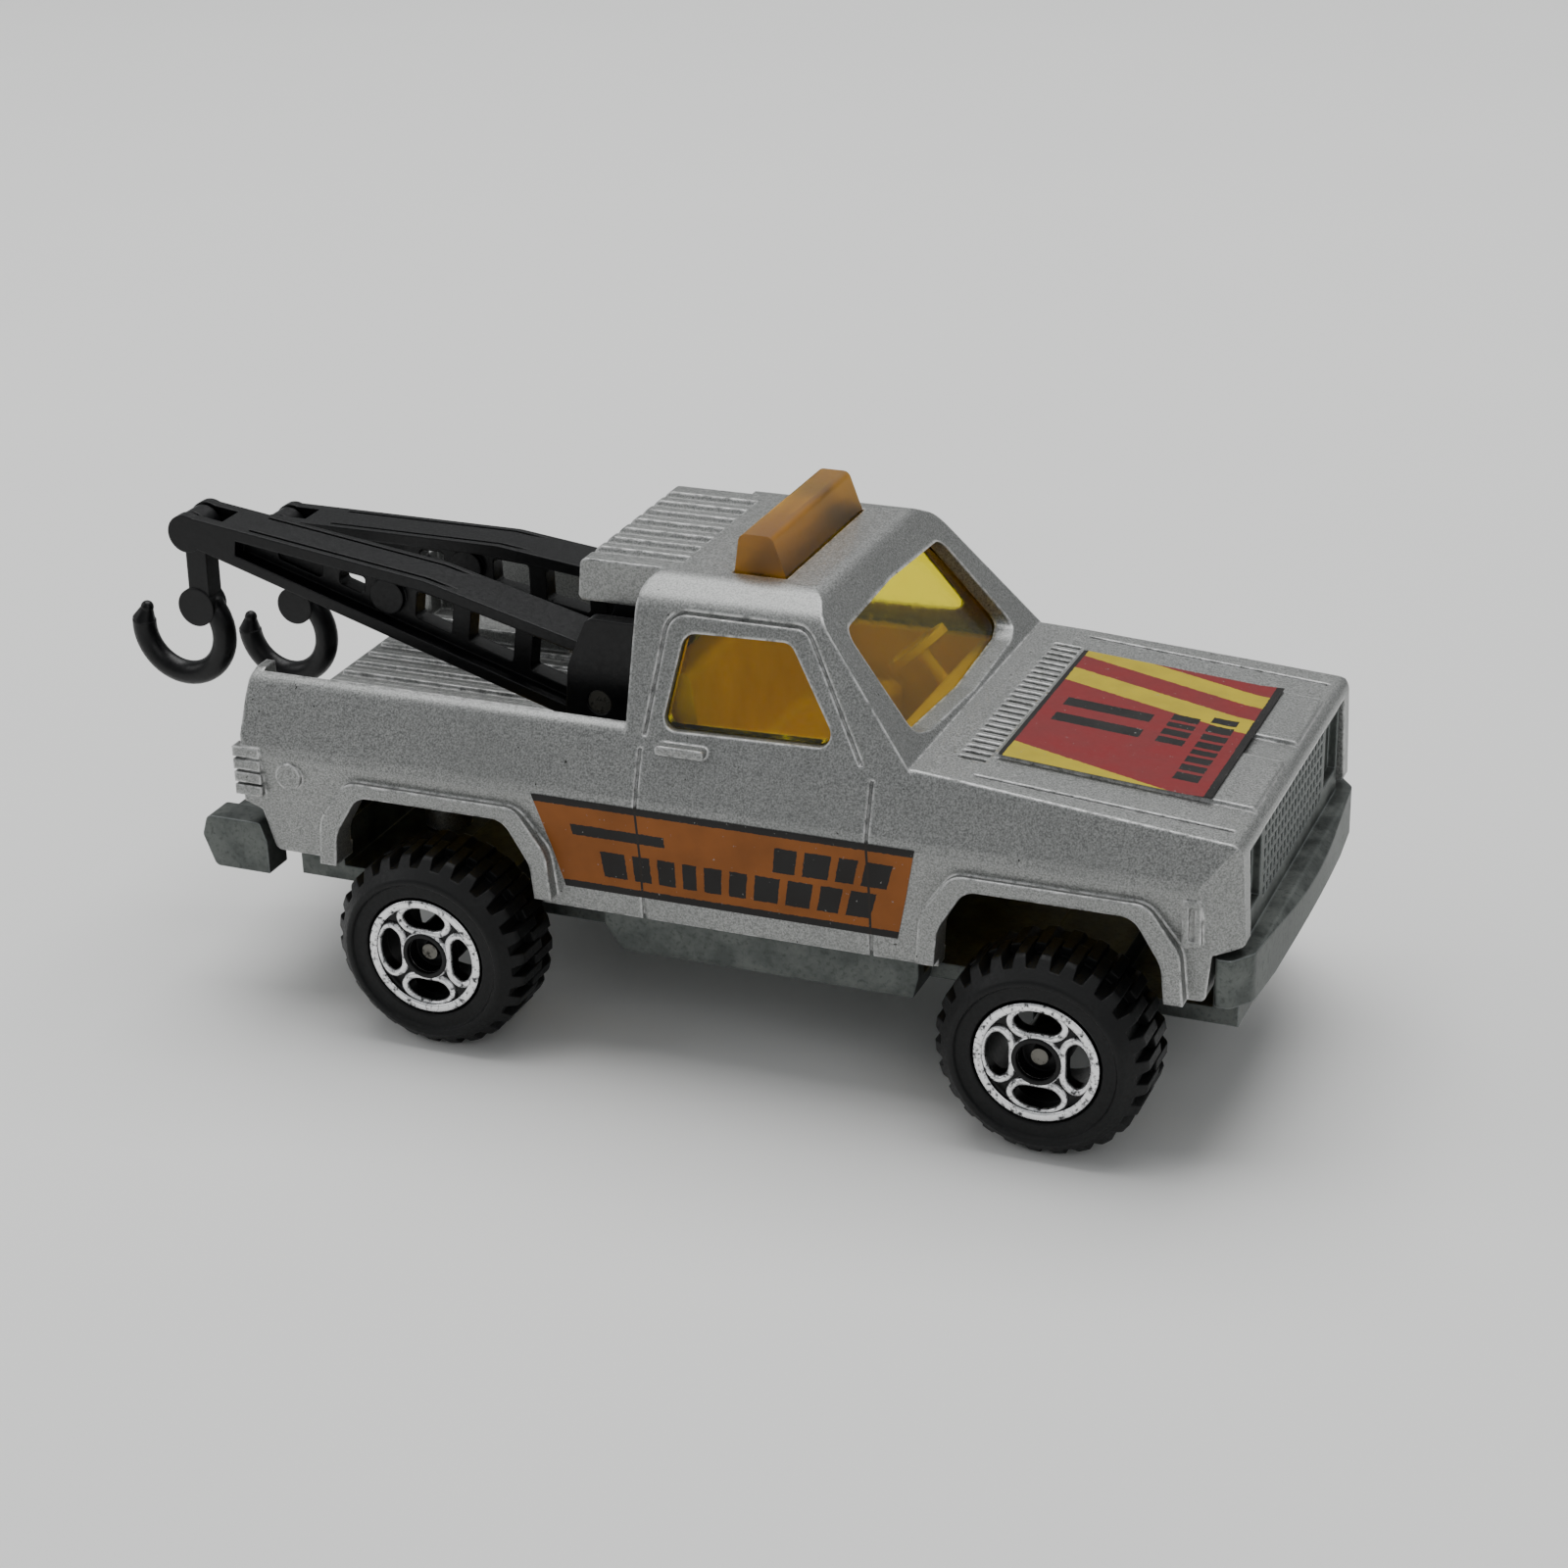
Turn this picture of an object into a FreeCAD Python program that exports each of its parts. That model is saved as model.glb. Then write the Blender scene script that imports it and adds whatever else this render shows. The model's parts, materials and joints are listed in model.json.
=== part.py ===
"""Die-cast toy tow truck: a sprung-axle pickup with two lattice booms and swinging hooks.

Millimetres. +X is the front of the truck, +Y its left side, +Z up. The parts are drawn on a working
frame with x = 0 between the axles and z = 0 on the ground, then all are moved along X together, so
that the origin ends up on the ground under the middle of the whole truck.
"""
import FreeCAD
import Part
import math
import os
from FreeCAD import Vector

# ---- driving dimensions ---------------------------------------------------------------------------
# wheels and axles
FRONT_AXLE_X, REAR_AXLE_X = 21.9, -23.9
TYRE_R, TYRE_W = 7.5, 7.6
WHEEL_OUT_Y = 19.0          # outer face of each tyre
RIM_R = 4.45
AXLE_R = 0.6
HUB_R, HUB_MOUTH = 1.75, 1.5   # hub tube, and the depth of its open mouth
LUG_COUNT = 26              # tread lugs round one shoulder
LUG_DEPTH = 0.7
RUN_CLEAR = 0.05            # radial clearance of every turning fit
PRESS_CLEAR = 0.01          # radial clearance of pieces pushed on for good
SIDE_PLAY = 0.4             # wheel hub to axle lug, and boom to post

# body shell
WALL = 1.1
BODY_HALF_W = 16.0          # at the belt crease
SILL_Z = 11.6
BELT_Z = 20.4
RAIL_Z, RAIL_Y = 24.6, 14.7
TAIL_X, NOSE_X = -39.4, 34.6
HOOD_REAR_Z, HOOD_FRONT_Z = 25.15, 23.6
CAB_REAR_X, COWL_X = -9.2, 12.0
ROOF_Z, ROOF_HALF_W = 35.15, 10.9
ARCH_HALF_L = 8.0           # wheel opening, half length at its foot
ARCH_TOP_Z = 18.15
ARCH_LIP = 1.25             # width of the raised lip round the opening
ARCH_LIP_OUT = 0.4
BED_FLOOR_Z = 20.6
BED_HALF_W = 13.4
TAIL_EAR_W = 3.0
FAIRING_L, FAIRING_HALF_W, FAIRING_T = 6.1, 8.1, 3.1
FAIRING_RIDGES = 8
POST_R = 1.8                # riveting posts inside the shell
FRONT_POST_X, REAR_POST_X = 29.2, -31.5

# chassis
FLOOR_Z, FLOOR_T = 7.6, 1.2
FRAME_HALF_W = 9.6
PANEL_HALF_W, PANEL_REAR_X, PANEL_FRONT_X = 13.0, -12.2, 11.6
LUG_OUT_Y, LUG_T = 10.6, 2.0
BUMPER_FRONT_X, BUMPER_REAR_X = 36.3, -43.4
BUMPER_HALF_W = 15.5

# glazing and interior
PANE_GAP = 0.12             # all round each pane, and between canopy and shell
PANE_T = 0.8
PANE_SINK = 0.45            # pane face below the outside of the shell
LIGHT_BAR_Z, LIGHT_BAR_HALF_W = 38.0, 7.3
LIGHT_BAR_X = -1.75

# towing gear
PIVOT_X, PIVOT_Z = -13.2, 25.2
BOOM_Y, BOOM_W = 6.5, 4.0   # centre plane of each boom, and its flange width
BOOM_L = 34.6               # boom pivot to hook pin
BOOM_WEB = 1.5
BOOM_PIN_R = 0.9
HOOK_PIN_R, HOOK_T = 0.55, 1.7
HOOK_DROP = 8.5             # hook pin to the middle of the hook's bow
HOOK_BOW_R, HOOK_WIRE_R = 3.5, 0.9
RIGHT_BOOM_LIFT, LEFT_BOOM_LIFT = 7.8, 0.0     # degrees above the lowered stop
RIGHT_HOOK_SWING, LEFT_HOOK_SWING = 0.0, 11.0  # degrees, lower end swung forwards


# ---- drawing helpers ------------------------------------------------------------------------------
def rounded_face(corners, place):
    """Face from (a, b, radius) corners; each corner with a radius becomes a tangent arc."""
    edges = []
    joints = []
    count = len(corners)
    for i, (a, b, radius) in enumerate(corners):
        here = Vector(a, b, 0)
        to_prev = (Vector(*corners[i - 1][:2], 0) - here).normalize()
        to_next = (Vector(*corners[(i + 1) % count][:2], 0) - here).normalize()
        if radius <= 0:
            joints.append((here, None, here))
            continue
        half = to_prev.getAngle(to_next) / 2
        middle = (to_prev + to_next).normalize()
        reach = radius / math.tan(half)
        crown = here + middle * (radius / math.sin(half) - radius)
        joints.append((here + to_prev * reach, crown, here + to_next * reach))
    for i, (start, crown, end) in enumerate(joints):
        if crown is not None:
            edges.append(Part.Arc(*[place(p.x, p.y) for p in (start, crown, end)]).toShape())
        following = joints[(i + 1) % count][0]
        if (following - end).Length > 1e-6:
            edges.append(Part.makeLine(place(end.x, end.y), place(following.x, following.y)))
    return Part.Face(Part.Wire(edges))


def plain(points, radius=0.0):
    """The same radius on every corner."""
    return [(a, b, radius) for a, b in points]


def inset(corners, distance):
    """Move each side of an outline inwards by a distance, and shrink the corner radii with it."""
    count = len(corners)
    area = sum(corners[i][0] * corners[(i + 1) % count][1] - corners[(i + 1) % count][0] * corners[i][1]
               for i in range(count))
    turn = 1 if area > 0 else -1
    moved = []
    for i, (a, b, radius) in enumerate(corners):
        before, after = corners[i - 1], corners[(i + 1) % count]
        n1 = normal_of(before, corners[i], turn)
        n2 = normal_of(corners[i], after, turn)
        scale = distance / (1 + n1[0] * n2[0] + n1[1] * n2[1])
        new_radius = max(radius - distance, 0.1) if radius > 0 else 0.0
        moved.append((a + (n1[0] + n2[0]) * scale, b + (n1[1] + n2[1]) * scale, new_radius))
    return moved


def normal_of(start, end, turn):
    """Unit inward normal of one side of an outline that runs anticlockwise (turn 1) or clockwise (-1)."""
    da, db = end[0] - start[0], end[1] - start[1]
    length = math.hypot(da, db)
    return (-db * turn / length, da * turn / length)


def prism_y(corners, y0, y1):
    """Outline in (x, z), extruded from y0 to y1."""
    return rounded_face(corners, lambda a, b: Vector(a, y0, b)).extrude(Vector(0, y1 - y0, 0))


def prism_x(corners, x0, x1):
    """Outline in (y, z), extruded from x0 to x1."""
    return rounded_face(corners, lambda a, b: Vector(x0, a, b)).extrude(Vector(x1 - x0, 0, 0))


def prism_z(corners, z0, z1):
    """Outline in (x, y), extruded from z0 to z1."""
    return rounded_face(corners, lambda a, b: Vector(a, b, z0)).extrude(Vector(0, 0, z1 - z0))


def block(x0, x1, y0, y1, z0, z1):
    """Box between two corners."""
    return Part.makeBox(x1 - x0, y1 - y0, z1 - z0, Vector(x0, y0, z0))


def rod_y(x, z, radius, y0, y1):
    """Round bar along Y."""
    return Part.makeCylinder(radius, y1 - y0, Vector(x, y0, z), Vector(0, 1, 0))


def rod_z(x, y, radius, z0, z1):
    """Round bar along Z."""
    return Part.makeCylinder(radius, z1 - z0, Vector(x, y, z0))


def mirrored(shape):
    """Copy on the other side of the truck."""
    return shape.mirror(Vector(0, 0, 0), Vector(0, 1, 0))


def both_sides(shape):
    """A piece and its mirror image, as one group for a single cut or join."""
    return Part.makeCompound([shape, mirrored(shape)])


def mirror_section(half):
    """Close a half outline, given from the bottom up on the +Y side, with its mirror image."""
    return half + [(-a, b, radius) for a, b, radius in reversed(half)]


def one_solid(shape):
    """The single solid of a joined shape, with seams between coplanar faces removed."""
    solids = shape.removeSplitter().Solids
    return max(solids, key=lambda solid: solid.Volume)


# ---- body outlines --------------------------------------------------------------------------------
def lower_section():
    """Cross-section of the body below the glass: widest at the belt crease, leaning in above it."""
    return mirror_section([(BODY_HALF_W - 0.9, SILL_Z - 2, 0), (BODY_HALF_W - 0.5, BELT_Z - 4, 2.0),
                           (BODY_HALF_W, BELT_Z - 0.2, 0.5), (BODY_HALF_W - 0.15, BELT_Z + 0.6, 0.5),
                           (RAIL_Y + 0.1, RAIL_Z - 0.5, 0.6), (RAIL_Y - 0.55, RAIL_Z + 0.75, 0.9),
                           (RAIL_Y - 1.6, RAIL_Z + 1.2, 0)])


def side_outline():
    """Side view of the body below the glass, from the tail round by the sill to the nose."""
    return [(TAIL_X + 0.4, RAIL_Z + 1.4, 0), (TAIL_X, BELT_Z, 2.0), (TAIL_X - 0.4, SILL_Z + 4.6, 0.5),
            (TAIL_X + 1.2, SILL_Z + 4.0, 0.3), (TAIL_X + 2.0, SILL_Z + 0.8, 0.6),
            (REAR_AXLE_X, SILL_Z + 0.8, 0), (REAR_AXLE_X, SILL_Z, 0),
            (FRONT_AXLE_X, SILL_Z, 0), (FRONT_AXLE_X, SILL_Z + 0.6, 0),
            (NOSE_X - 2.2, SILL_Z + 0.6, 0.5), (NOSE_X - 1.8, SILL_Z + 4.2, 0.3),
            (NOSE_X + 0.2, SILL_Z + 4.8, 0.3), (NOSE_X - 0.1, HOOD_FRONT_Z, 0.9),
            (COWL_X + 3.0, HOOD_REAR_Z, 0), (COWL_X, HOOD_REAR_Z + 0.2, 0), (CAB_REAR_X, RAIL_Z + 1.4, 0)]


def plan_outline():
    """Top view of the body, with rounded corners at nose and tail."""
    wide = BODY_HALF_W + 2
    return [(TAIL_X - 0.6, -wide + 2.0, 1.6), (NOSE_X - 3, -wide + 1.9, 3.0), (NOSE_X + 0.3, -wide + 3.3, 1.4),
            (NOSE_X + 0.6, 0, 60.0),
            (NOSE_X + 0.3, wide - 3.3, 1.4), (NOSE_X - 3, wide - 1.9, 3.0), (TAIL_X - 0.6, wide - 2.0, 1.6)]


def cab_section():
    """Cross-section of the cab, leaning in from the belt to a rounded roof edge."""
    return mirror_section([(RAIL_Y - 0.1, RAIL_Z - 2.5, 0), (RAIL_Y - 0.3, RAIL_Z + 0.2, 1.0),
                           (ROOF_HALF_W + 0.5, ROOF_Z - 1.2, 2.2), (ROOF_HALF_W - 2.0, ROOF_Z, 3.0)])


def cab_outline():
    """Side view of the cab: upright rear wall, flat roof, raked windscreen."""
    return [(CAB_REAR_X, RAIL_Z - 2.5, 0), (CAB_REAR_X - 0.1, ROOF_Z, 0.8), (3.35, ROOF_Z, 1.6),
            (COWL_X - 0.2, HOOD_REAR_Z - 0.2, 0), (COWL_X + 1.9, RAIL_Z - 2.5, 0)]


def lower_hull(depth=0.0):
    """Solid body below the glass, with every outside face moved in by a depth."""
    across = prism_x(inset(lower_section(), depth), TAIL_X - 5, NOSE_X + 5)
    along = prism_y(inset(side_outline(), depth), -BODY_HALF_W - 2, BODY_HALF_W + 2)
    above = prism_z(inset(plan_outline(), depth), SILL_Z - 3, RAIL_Z + 4)
    return across.common(along).common(above)


def cab_hull(depth=0.0):
    """Solid cab, with every outside face moved in by a depth."""
    across = prism_x(inset(cab_section(), depth), CAB_REAR_X - 5, COWL_X + 5)
    along = prism_y(inset(cab_outline(), depth), -BODY_HALF_W, BODY_HALF_W)
    return across.common(along)


def arch_corners(axle_x, lip):
    """Wheel opening in side view: a flat-topped arch with rounded shoulders, grown by a lip width."""
    foot, shoulder = ARCH_HALF_L + lip, ARCH_HALF_L - 2.2 + lip * 0.75
    top, low = ARCH_TOP_Z + lip * 0.8, SILL_Z - 4
    return [(axle_x - foot - 0.4, low, 0), (axle_x - foot + 0.25, top - 3.2, 2.5),
            (axle_x - shoulder, top, 1.6), (axle_x + shoulder, top, 1.6),
            (axle_x + foot - 0.25, top - 3.2, 2.5), (axle_x + foot + 0.4, low, 0)]


def side_window_corners(grow=0.0):
    """Door window in side view."""
    return inset([(-6.6, 25.7, 0.9), (6.5, 26.0, 0.9), (2.3, 32.4, 1.1), (-5.5, 32.2, 1.1)], -grow)


def windscreen_corners(grow=0.0):
    """Windscreen in front view: wider at the foot, with a slightly bowed lower edge."""
    half = [(0.001, 25.6, 0), (8.6, 25.9, 3.0), (10.6, 26.4, 0.8), (9.5, 32.8, 1.2), (0.001, 33.1, 0)]
    return inset(mirror_section(half), -grow)


# ---- body shell -----------------------------------------------------------------------------------
def shell_cavity():
    """Everything hollow inside the shell: under the bed floor, under the bonnet and in the cab."""
    under_bed = lower_hull(WALL).common(block(TAIL_X, CAB_REAR_X, -20, 20, 0, BED_FLOOR_Z - WALL))
    rest = lower_hull(WALL).common(block(CAB_REAR_X + WALL, NOSE_X + 5, -20, 20, 0, RAIL_Z + 4))
    passage = block(CAB_REAR_X - 0.5, CAB_REAR_X + WALL + 0.5, -RAIL_Y + WALL, RAIL_Y - WALL, 0,
                    BED_FLOOR_Z - WALL)
    bottom = block(TAIL_X + 3.2, NOSE_X - 3.3, -BODY_HALF_W + 2.0, BODY_HALF_W - 2.0, 0, SILL_Z + 3)
    return under_bed.fuse([rest, passage, bottom, cab_hull(WALL)])


def bed_tray():
    """The open load bed, cut down to its floor, and right through the tail between the corner ears."""
    tray = block(TAIL_X + 1.1, CAB_REAR_X - 0.001, -BED_HALF_W, BED_HALF_W, BED_FLOOR_Z, RAIL_Z + 4)
    ear_y = RAIL_Y - TAIL_EAR_W
    return tray.fuse(block(TAIL_X - 3, TAIL_X + 3, -ear_y, ear_y, BED_FLOOR_Z, RAIL_Z + 4))


def bed_fittings():
    """Lengthwise floor ridges, and a low wheel box along each side wall."""
    ridge_y = [-11 + 2.0 * i for i in range(12)]
    ridges = [block(TAIL_X + 0.4, PIVOT_X - 4.2, y - 0.35, y + 0.35, BED_FLOOR_Z - 0.1, BED_FLOOR_Z + 0.3)
              for y in ridge_y]
    box_x0, box_x1, box_in = REAR_AXLE_X - 10.5, REAR_AXLE_X - 0.2, BED_HALF_W - 6.0
    wheel_box = prism_y(plain([(box_x0, BED_FLOOR_Z - 0.1), (box_x0 + 1.2, BED_FLOOR_Z + 1.3),
                               (box_x1, BED_FLOOR_Z + 1.3), (box_x1, BED_FLOOR_Z - 0.1)]),
                        box_in, BED_HALF_W + 0.3)
    return ridges + [wheel_box, mirrored(wheel_box)]


def roof_fairing():
    """Overhang behind the cab roof."""
    front = CAB_REAR_X + 2
    return prism_y([(CAB_REAR_X - FAIRING_L, ROOF_Z - FAIRING_T, 0.4), (front, ROOF_Z - FAIRING_T, 0),
                    (front, ROOF_Z, 0), (CAB_REAR_X - FAIRING_L + 0.3, ROOF_Z, 0.5)],
                   -FAIRING_HALF_W, FAIRING_HALF_W)


def fairing_grooves():
    """Valleys between the lengthwise ridges of the fairing."""
    pitch = 2 * FAIRING_HALF_W / FAIRING_RIDGES
    return Part.makeCompound([
        Part.makeCylinder(0.62, FAIRING_L + 2.0,
                          Vector(CAB_REAR_X - FAIRING_L - 0.6, -FAIRING_HALF_W + pitch * i, ROOF_Z + 0.12),
                          Vector(1, 0, 0)) for i in range(1, FAIRING_RIDGES)])


def side_trim():
    """Raised details on the right side: arch lips, lamps, filler cap and door handle."""
    trim = []
    outer = BODY_HALF_W + ARCH_LIP_OUT
    for axle_x in (FRONT_AXLE_X, REAR_AXLE_X):
        lip = prism_y(arch_corners(axle_x, ARCH_LIP), -outer, -BODY_HALF_W + WALL + 0.2)
        floor_cut = SILL_Z + (0.8 if axle_x < 0 else 0.6)
        trim.append(lip.common(block(TAIL_X, NOSE_X, -outer, outer, floor_cut, ROOF_Z)))
    skin = BODY_HALF_W - 0.9
    for i in range(4):
        rib_z = SILL_Z + 5.3 + i
        trim.append(block(TAIL_X - 0.45, TAIL_X + 1.7, -BODY_HALF_W - 0.15, -skin, rib_z, rib_z + 0.75))
    trim.append(prism_y(plain([(NOSE_X - 3.7, 16.4), (NOSE_X - 2.4, 16.4), (NOSE_X - 2.4, 19.8),
                               (NOSE_X - 3.7, 19.8)], 0.3), -BODY_HALF_W - 0.1, -skin))
    trim.append(prism_y(plain([(-6.6, 24.35), (-3.0, 24.35), (-3.0, 25.0), (-6.6, 25.0)], 0.25),
                        -RAIL_Y - 0.55, -RAIL_Y + 1.0))
    return trim


def marker_slot():
    """Shallow upright slot in the right marker lamp."""
    return block(NOSE_X - 3.25, NOSE_X - 2.85, -BODY_HALF_W - 1, -BODY_HALF_W + 0.15, 16.9, 19.3)


def door_seams():
    """Shallow grooves round each door, cut to an even depth below the outside."""
    depth, width = 0.25, 0.28
    skin_low = lower_hull().cut(lower_hull(depth))
    skin_cab = cab_hull().cut(cab_hull(depth))
    low = [block(x, x + width, -20, 20, SILL_Z - 1, RAIL_Z - 0.2) for x in (-8.1, 8.9)]
    frame = [(-8.1, RAIL_Z - 1, 0), (9.2, RAIL_Z - 1, 0), (3.5, 33.6, 1.6), (-6.9, 33.6, 1.6)]
    ring = prism_y(frame, -20, 20).cut(prism_y(inset(frame, width), -20, 20))
    ring = ring.common(block(-20, 20, -20, 20, RAIL_Z + 0.6, ROOF_Z))
    sides = ring.cut(block(-20, 20, -8, 8, 0, 50))
    return Part.makeCompound([skin_low.common(Part.makeCompound(low)), skin_cab.common(sides)])


def cowl_vents():
    """Row of short slots across the bonnet, just ahead of the windscreen."""
    count, pitch = 24, 0.92
    first = -pitch * (count - 1) / 2
    return Part.makeCompound([block(COWL_X + 1.7, COWL_X + 3.7, first + pitch * i - 0.22,
                                    first + pitch * i + 0.22, HOOD_REAR_Z - 0.45, RAIL_Z + 3)
                              for i in range(count)])


def bonnet_pads():
    """Two long raised panels on the bonnet, with a shallow valley between them and rounded front ends."""
    rise, x0, x1 = 0.3, COWL_X + 3.9, NOSE_X - 0.7
    slope = (HOOD_FRONT_Z - HOOD_REAR_Z) / (NOSE_X - 0.1 - COWL_X - 3.0)
    z0, z1 = (HOOD_REAR_Z + slope * (x - COWL_X - 3.0) for x in (x0, x1))
    side = [(x0, z0 - 0.4, 0), (x1, z1 - 0.4, 0), (x1, z1 + rise, 0.25), (x0, z0 + rise, 0.25)]
    pad = prism_y(side, 1.7, 9.6)
    return [pad, mirrored(pad)]


def bonnet_lines():
    """Thin grooves along both edges of the bonnet."""
    return Part.makeCompound([block(COWL_X + 3.6, NOSE_X - 1.2, side * 13.0 - 0.14, side * 13.0 + 0.14,
                                    HOOD_FRONT_Z - 1, RAIL_Z + 3) for side in (-1, 1)])


def riveting_post(x, top_z):
    """Post that hangs from the roof of a cavity down to the chassis floor, drilled for its rivet."""
    post = rod_z(x, 0, POST_R, FLOOR_Z + FLOOR_T, top_z)
    return post.cut(rod_z(x, 0, RIVET_R + PRESS_CLEAR, FLOOR_Z, FLOOR_Z + FLOOR_T + RIVET_GRIP))


RIVET_R, RIVET_GRIP, RIVET_HEAD_R, RIVET_HEAD_T = 0.9, 3.0, 1.6, 0.6
GRILLE_HALF_W, GRILLE_Z0, GRILLE_Z1 = 13.3, SILL_Z + 4.9, HOOD_FRONT_Z - 0.9


def body_shell():
    """Painted die-cast upper body: bonnet, cab, bed and roof fairing in one casting."""
    hull = lower_hull().cut(bed_tray())
    hull = hull.fuse([cab_hull(), roof_fairing()] + bed_fittings() + bonnet_pads())
    trim = side_trim()
    hull = hull.fuse(trim + [mirrored(piece) for piece in trim])
    filler = rod_y(TAIL_X + 4.0, BELT_Z - 1.6, 1.0, -BODY_HALF_W - 0.15, -BODY_HALF_W + 1.0)
    hull = hull.fuse(filler)
    hull = hull.cut(shell_cavity())
    arches = [prism_y(arch_corners(x, 0), -20, 20) for x in (FRONT_AXLE_X, REAR_AXLE_X)]
    under = block(TAIL_X - 5, NOSE_X + 5, -20, 20, 0, BED_FLOOR_Z - WALL - 0.01)
    hull = hull.cut([arch.common(under) for arch in arches])
    hull = hull.cut([prism_y(side_window_corners(), -20, 20),
                     prism_x(windscreen_corners(), 3.0, 20),
                     block(NOSE_X - 3.5, NOSE_X + 3, -GRILLE_HALF_W, GRILLE_HALF_W, 0, GRILLE_Z1),
                     block(LIGHT_BAR_X - 2.05, LIGHT_BAR_X + 2.05, -LIGHT_BAR_HALF_W - 0.2,
                           LIGHT_BAR_HALF_W + 0.2, ROOF_Z - 3, ROOF_Z + 1)])
    hull = hull.cut(fairing_grooves())
    hull = hull.cut(door_seams())
    hull = hull.cut([cowl_vents(), bonnet_lines(), both_sides(marker_slot())])
    hull = hull.cut(Part.makeCompound([tab_slot(side) for side in (-1, 1)]))
    posts = [riveting_post(FRONT_POST_X, HOOD_FRONT_Z - 0.4), riveting_post(REAR_POST_X, BED_FLOOR_Z - 0.5)]
    return one_solid(hull.fuse(posts))


# ---- interior and glazing -------------------------------------------------------------------------
TAB_X0, TAB_X1, TAB_Y0, TAB_Y1 = -23.4, -20.6, 8.0, 11.6
SHELF_Z, SHELF_T = 17.4, 1.0
INTERIOR_FLOOR_Z = 13.0
INTERIOR_HALF_W = 12.4


def tab_slot(side):
    """Slot in the bed floor for one locating tab of the interior moulding."""
    slot = block(TAB_X0 - 0.1, TAB_X1 + 0.1, TAB_Y0 - 0.1, TAB_Y1 + 0.1, BED_FLOOR_Z - WALL - 1,
                 BED_FLOOR_Z + 0.5)
    return slot if side > 0 else mirrored(slot)


def steering_wheel(foot_x):
    """Steering wheel on its column: a flat ring with one cross spoke, leaning back from the dashboard."""
    ring_r, ring_w, ring_t, length = 2.5, 0.6, 0.6, 5.6
    ring = rod_z(0, 0, ring_r, 0, ring_t).cut(rod_z(0, 0, ring_r - ring_w, -1, ring_t + 1))
    spoke = block(-0.3, 0.3, -ring_r + 0.2, ring_r - 0.2, 0.1, ring_t - 0.1)
    column = rod_z(0, 0, 0.5, -length, ring_t - 0.2)
    wheel = ring.fuse([spoke, column])
    wheel.rotate(Vector(0, 0, 0), Vector(0, 1, 0), -40)
    wheel.translate(Vector(foot_x - 3.6, 5.4, 25.3))
    return wheel


def cab_interior():
    """Interior moulding: floor tub, bench seat, dashboard, and a shelf over each axle."""
    w = INTERIOR_HALF_W
    back_x, dash_x = CAB_REAR_X + WALL + 0.3, COWL_X - WALL - 1.0
    floor = block(back_x, dash_x, -w, w, INTERIOR_FLOOR_Z, INTERIOR_FLOOR_Z + 1.0)
    walls = both_sides(block(back_x, dash_x, w - 0.8, w, INTERIOR_FLOOR_Z, RAIL_Z - 0.4))
    seat = prism_y([(back_x, INTERIOR_FLOOR_Z + 0.5, 0), (1.2, INTERIOR_FLOOR_Z + 0.5, 0), (1.6, 20.6, 0.9),
                    (-4.4, 19.8, 0.8), (-5.6, 28.6, 0.9), (back_x, 28.8, 0.3)], -10.6, 10.6)
    dash = prism_y([(dash_x - 3.6, INTERIOR_FLOOR_Z + 0.5, 0), (dash_x, INTERIOR_FLOOR_Z + 0.5, 0),
                    (dash_x, 24.1, 0.4), (dash_x - 2.6, 24.1, 0.6), (dash_x - 3.6, 22.6, 0.5)], -w, w)
    bulkheads = [block(back_x, back_x + 1.0, -w, w, INTERIOR_FLOOR_Z, SHELF_Z + SHELF_T),
                 block(dash_x - 1.0, dash_x, -w, w, INTERIOR_FLOOR_Z, SHELF_Z + SHELF_T)]
    shelves = [block(REAR_POST_X - POST_R - 1.2, back_x + 0.5, -w, w, SHELF_Z, SHELF_Z + SHELF_T),
               block(dash_x - 0.5, FRONT_POST_X - POST_R - 0.4, -w, w, SHELF_Z, SHELF_Z + SHELF_T)]
    tab = block(TAB_X0, TAB_X1, TAB_Y0, TAB_Y1, SHELF_Z + 0.5, BED_FLOOR_Z + 0.35)
    body = floor.fuse([walls, seat, dash, steering_wheel(dash_x - 1.5), tab, mirrored(tab)]
                      + bulkheads + shelves)
    return one_solid(body.cut(rod_z(REAR_POST_X, 0, POST_R + 0.1, 0, 30)))


def light_bar():
    """Amber beacon across the roof: a tapered bar that stands up through the roof slot."""
    x, top = LIGHT_BAR_X, LIGHT_BAR_Z
    return prism_y([(x - 1.9, ROOF_Z - WALL - 0.6, 0), (x + 1.9, ROOF_Z - WALL - 0.6, 0),
                    (x + 1.9, ROOF_Z + 0.1, 0), (x + 0.9, top, 0.6), (x - 1.5, top, 0.6),
                    (x - 1.9, ROOF_Z + 0.1, 0)], -LIGHT_BAR_HALF_W, LIGHT_BAR_HALF_W)


def amber_glazing():
    """Clear amber moulding: a canopy inside the cab with raised panes, and the roof beacon."""
    outside = WALL + PANE_GAP
    foot_z = RAIL_Z - 0.1
    room = block(CAB_REAR_X + outside + PANE_T, COWL_X + 5, -20, 20, foot_z, ROOF_Z + 1)
    canopy = cab_hull(outside).cut(cab_hull(outside + PANE_T)).common(room)
    side = prism_y(side_window_corners(-PANE_GAP), -20, 20)
    screen = prism_x(windscreen_corners(-PANE_GAP), 3.0, 20)
    panes = cab_hull(PANE_SINK).cut(cab_hull(outside + PANE_T)).common(side.fuse(screen))
    panes = panes.common(block(CAB_REAR_X + 1.5, COWL_X + 5, -20, 20, foot_z, ROOF_Z - 1))
    return one_solid(canopy.fuse([panes, light_bar()]))


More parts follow.
